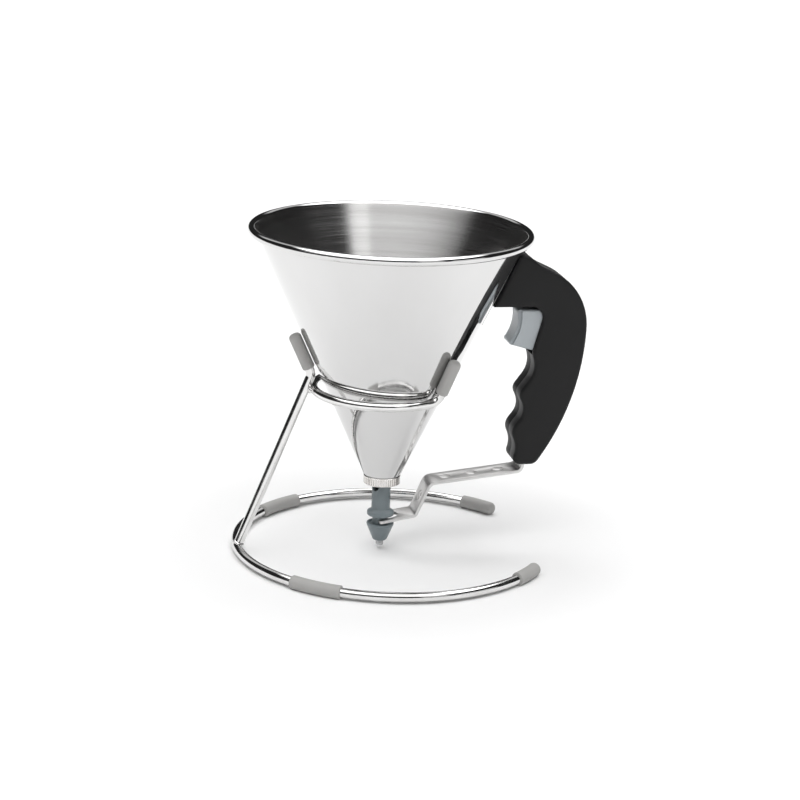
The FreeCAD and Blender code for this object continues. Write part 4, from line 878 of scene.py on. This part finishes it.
def rubber_on_base(node, middle, length, closed=0):
    """A rubber tube on the base wire, flat below, with soft lips or one closed and rounded end.

    Each station is a distance along the wire and a share of the full radius.
    """
    lip = [(0, 0.93), (0.12, 0.97), (0.35, 1.0)]
    soft = SLEEVE * SLEEVE_ROUNDING
    quarter = [math.radians(10 * i) for i in range(10)]
    dome = [(soft * (1 - math.cos(turn)), 1 - 2 * SLEEVE_ROUNDING * (1 - math.sin(turn)))
            for turn in quarter]
    first = dome if closed < 0 else lip
    last = dome if closed > 0 else lip
    run, steps = length - first[-1][0] - last[-1][0], 16
    stations = first + [(first[-1][0] + run * i / steps, 1.0) for i in range(1, steps)]
    stations += [(length - distance, share) for distance, share in reversed(last)]
    start = middle - along_base(length) / 2
    piece = wire([on_base(start + along_base(distance)) for distance, share in stations], SLEEVE,
                 [share for distance, share in stations])
    with chosen(piece):
        bpy.ops.mesh.bisect(plane_co=(0, 0, 0), plane_no=(0, 0, 1), use_fill=True, clear_inner=True,
                            threshold=0.0001 * MM)
    close_up(piece)
    finish_piece(piece, node, RUBBER, smooth=45)


def base_rubber():
    cap, sleeve, sleeve_angle = 20.0, 27.4, 128.3
    middle = GAP_ANGLE + along_base(cap) / 2
    rubber_on_base("base_cap_left", middle, cap, closed=-1)
    rubber_on_base("base_cap_right", -middle, cap, closed=1)
    rubber_on_base("base_sleeve_left", sleeve_angle, sleeve)
    rubber_on_base("base_sleeve_right", -sleeve_angle, sleeve)


def prong_line(angle):
    """A prong's line beside the cone: its point at table level, and the way it climbs."""
    air = 0.3
    away = Vector((math.cos(math.radians(angle)), math.sin(math.radians(angle)), 0))
    stand_off = (PRONG_SLEEVE / 2 + air) / math.cos(CONE_ANGLE)
    climb = away * math.sin(CONE_ANGLE) + Vector((0, 0, math.cos(CONE_ANGLE)))
    return away * (cone_radius(0) + stand_off), climb


def at_height(line, z):
    """The point of a prong's line at a height."""
    start, climb = line
    return start + climb * ((z - start.z) / climb.z)


def bent(before, corner, after):
    """Points round a bend between two straight runs."""
    steps = 12
    into = (corner - before).normalized()
    out = (after - corner).normalized()
    turn = into.angle(out)
    reach = BEND * math.tan(turn / 2)
    centre = corner + (out - into).normalized() * (BEND / math.cos(turn / 2))
    start = corner - into * reach - centre
    end = corner + out * reach - centre
    return [centre + start.slerp(end, i / steps) * BEND for i in range(steps + 1)]


def cradle_ring():
    """Wire ring round the cone's back and sides, bent up into both front prongs.

    Its ends stop inside the sleeves, and it is welded to the leg at the back.
    """
    weld_depth, weld_size, steps = 0.3, (1.3, 3.2, 2.2), 72
    line = prong_line(PRONG_ANGLE)
    corner = at_height(line, CRADLE_Z)
    leg_x = BASE_SHIFT - BASE_RADIUS + (CRADLE_Z - BASE_Z) * LEG_LEAN
    touch = (BASE_WIRE + CRADLE_WIRE) / 2 - weld_depth
    far_x = leg_x + touch / math.cos(math.atan(LEG_LEAN))
    straight = BEND * 1.3
    run = corner.x - far_x
    radius = (run ** 2 + corner.y ** 2 - straight ** 2) / (2 * run)
    centre = Vector((far_x + radius, 0, CRADLE_Z))
    bearing = math.atan2(corner.y, corner.x - centre.x) + math.acos(radius / (corner - centre).length)
    top = corner + line[1] * (BEND + 1 + PRONG_LENGTH - SLEEVE_END)
    angles = [bearing + 2 * (math.pi - bearing) * i / steps for i in range(steps + 1)]
    ring = [centre + Vector((math.cos(angle), math.sin(angle), 0)) * radius for angle in angles]
    half = [top] + bent(top, corner, ring[0])
    path = half + ring + [Vector((point.x, -point.y, point.z)) for point in reversed(half)]
    piece = wire(path, CRADLE_WIRE)
    weld = ball((far_x - CRADLE_WIRE / 2, 0, CRADLE_Z), weld_size)
    finish_piece(joined(piece, weld), "cradle_ring", BAR, smooth=40)
    return top


def leg():
    """Straight wire from the base ring, bent up into the back prong."""
    weld_share, weld_size = 0.42, (3.1, 3.1, 1.3)
    foot = Vector((BASE_SHIFT - BASE_RADIUS, 0, BASE_Z))
    line = prong_line(180)
    rise = (line[0].x - foot.x + BASE_Z * LEG_LEAN) / (LEG_LEAN + math.tan(CONE_ANGLE))
    corner = at_height(line, rise)
    top = corner + line[1] * (BEND / 2 + 1 + PRONG_LENGTH - SLEEVE_END)
    piece = wire([foot] + bent(foot, corner, top) + [top], BASE_WIRE)
    up = (corner - foot).normalized()
    weld = ball(foot + up * BASE_WIRE * weld_share, weld_size, up)
    finish_piece(joined(piece, weld), "leg", BAR, smooth=40)
    return top


def prong_sleeve(node, angle, end, bar_width):
    """Closed rubber sleeve over the end of a prong."""
    climb = prong_line(angle)[1]
    outside, bore = PRONG_SLEEVE / 2, bar_width / 2 + FIT_GAP
    soft = PRONG_SLEEVE * SLEEVE_ROUNDING
    floor_of_bore = PRONG_LENGTH - SLEEVE_END + FIT_GAP
    rings = [(bore, 0), (outside - 0.25, 0), (outside - 0.05, 0.12), (outside, 0.35)]
    rings += arc((outside - soft, PRONG_LENGTH - soft), soft, 0, 90, 8)
    rings += [(0, PRONG_LENGTH), (0, floor_of_bore), (bore, floor_of_bore)]
    piece = turned(rings, steps=64)
    lean = Vector((0, 0, 1)).rotation_difference(climb).to_matrix().to_4x4()
    start = end - climb * (PRONG_LENGTH - SLEEVE_END)
    piece.matrix_world = Matrix.Translation(spot(*start)) @ lean @ Matrix.Translation(-AXIS * MM)
    finish_piece(piece, node, RUBBER, smooth=45)


def upper_stand():
    front = cradle_ring()
    prong_sleeve("prong_sleeve_left", PRONG_ANGLE, front, CRADLE_WIRE)
    prong_sleeve("prong_sleeve_right", -PRONG_ANGLE, Vector((front.x, -front.y, front.z)), CRADLE_WIRE)
    prong_sleeve("prong_sleeve_back", 180, leg(), BASE_WIRE)


def return_spring():
    """Compression spring behind the arm, which shortens as the trigger is pulled."""
    low, high = node_box("return_spring")
    bar_width, turns, steps, spare = 0.9, 6, 28, 0.2
    middle = (low + high) / 2
    mean = (high.y - low.y - bar_width) / 2
    start, end = low.x + bar_width / 2, high.x - bar_width / 2
    path = []
    for i in range(turns * steps + 1):
        turn = 2 * math.pi * i / steps
        path.append((start + (end - start) * i / (turns * steps),
                     mean * math.sin(turn), middle.z + mean * math.cos(turn)))
    piece = finish_piece(wire(path, bar_width), "return_spring", ZINC, smooth=60)
    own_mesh(piece)


def inner_pieces():
    """Pieces inside the handle keep their shape and get their metal."""
    for node, material in (("pivot_pin", TURNED), ("pivot_eye", SATIN), ("trigger_rivet", TURNED)):
        piece = frame["nodes"][node]
        piece.data.materials.clear()
        piece.data.materials.append(material)


# Studio

CAMERA_TURN = -12.0
CAMERA_RISE = 15.97
CAMERA_ROLL = 2.35
CAMERA_DISTANCE = 1.150
CAMERA_AIM = (7.62, -1.62, 80.97)
CAMERA_LENS = 100.6


def towards(turn, rise=0.0):
    """The way from the object to something at a turn and a rise, in degrees."""
    turn, rise = math.radians(turn), math.radians(rise)
    return Vector((math.sin(turn) * math.cos(rise), -math.cos(turn) * math.cos(rise), math.sin(rise)))


def floor():
    bpy.ops.object.select_all(action="DESELECT")
    bpy.ops.mesh.primitive_plane_add(size=40, location=(0, 0, 0))
    piece = bpy.context.object
    piece.name = "floor"
    paper = Finish("pale_floor", 0.8, Specular_IOR_Level=0.0)
    paper.tinted(paper.noise(4, 2), grey(0.885), grey(0.90))
    piece.data.materials.append(paper.material)


class Sky:
    """Soft studio light: brightness as a function of direction."""

    def __init__(self):
        world = bpy.data.worlds.new("studio")
        world.use_nodes = True
        bpy.context.scene.world = world
        self.nodes = world.node_tree.nodes
        self.links = world.node_tree.links
        self.way = self.nodes.new("ShaderNodeTexCoord").outputs["Generated"]
        split = self.nodes.new("ShaderNodeSeparateXYZ")
        self.links.new(self.way, split.inputs["Vector"])
        self.height = split.outputs["Z"]

    def faded(self, value, first, last, low=0.0, high=1.0):
        """A soft step from one level to another."""
        fade = self.nodes.new("ShaderNodeMapRange")
        fade.interpolation_type = "SMOOTHSTEP"
        set_range(fade, first, last, low, high)
        self.links.new(value, fade.inputs["Value"])
        return fade.outputs["Result"]

    def maths(self, kind, first, second):
        node = self.nodes.new("ShaderNodeMath")
        node.operation = kind
        self.links.new(first, node.inputs[0])
        self.links.new(second, node.inputs[1])
        return node.outputs["Value"]

    def beside(self, turn, soft):
        """1 on the clockwise side of a vertical plane at a turn, 0 on the other."""
        node = self.nodes.new("ShaderNodeVectorMath")
        node.operation = "DOT_PRODUCT"
        self.links.new(self.way, node.inputs[0])
        node.inputs[1].default_value = towards(turn + 90)
        return self.faded(node.outputs["Value"], -soft, soft)

    def panel(self, first, last, level, rise, drop=(0.75, 0.86), soft=0.06):
        """An upright soft light between two turns from the camera, which fades in and out with height."""
        left, right = self.beside(CAMERA_TURN + first, soft), self.beside(CAMERA_TURN + last - 180, soft)
        below, above = self.faded(self.height, *rise), self.faded(self.height, *drop, level, 0)
        across, upright = self.maths("MULTIPLY", left, right), self.maths("MULTIPLY", below, above)
        return self.maths("MULTIPLY", across, upright)


def studio():
    """White sweep below the horizon, a ceiling light that is weaker at its middle, and four panels.

    The panels stand high in front, tall and narrow at the right, low beside that, and high at the
    back. All else is dark.
    """
    sky = Sky()
    dark, sweep, ceiling, zenith = 0.02, 1.0, 3.3, 1.1
    total = sky.faded(sky.height, 0.01, 0.06, sweep, dark)
    for light in (sky.faded(sky.height, 0.72, 0.82, 0, ceiling),
                  sky.faded(sky.height, 0.90, 0.97, 0, zenith - ceiling),
                  sky.panel(-82, 46, 0.90, rise=(0.46, 0.60), soft=0.12),
                  sky.panel(24, 44, 0.45, rise=(0.04, 0.14), soft=0.04),
                  sky.panel(50, 80, 0.90, rise=(0.04, 0.14), drop=(0.22, 0.36)),
                  sky.panel(140, 220, 0.6, rise=(0.38, 0.50))):
        total = sky.maths("ADD", total, light)
    background = sky.nodes["Background"]
    background.inputs["Color"].default_value = (1, 1, 1, 1)
    sky.links.new(total, background.inputs["Strength"])
    bpy.context.scene.view_settings.view_transform = "Standard"


def camera():
    """The photograph's viewing angle: turned, raised and rolled about the aim."""
    back = towards(CAMERA_TURN, CAMERA_RISE)
    data = bpy.data.cameras.new("camera")
    data.lens = CAMERA_LENS
    data.sensor_width = 36
    data.clip_start = 0.01
    made = bpy.data.objects.new("camera", data)
    stand = Matrix.Translation(spot(*CAMERA_AIM) + back * CAMERA_DISTANCE)
    look = back.to_track_quat("Z", "Y").to_matrix().to_4x4()
    made.matrix_world = stand @ look @ Matrix.Rotation(math.radians(CAMERA_ROLL), 4, "Z")
    bpy.context.scene.collection.objects.link(made)
    bpy.context.scene.camera = made


funnel_cone()
outlet_parts()
ring_nut()
valve_tube()
nozzle()
handle_shell("handle_shell_left", 1)
handle_shell("handle_shell_right", -1)
handle_screws()
bracket()
trigger()
lever_strip()
base_ring()
base_rubber()
upper_stand()
return_spring()
inner_pieces()
floor()
studio()
camera()
bpy.context.view_layer.update()
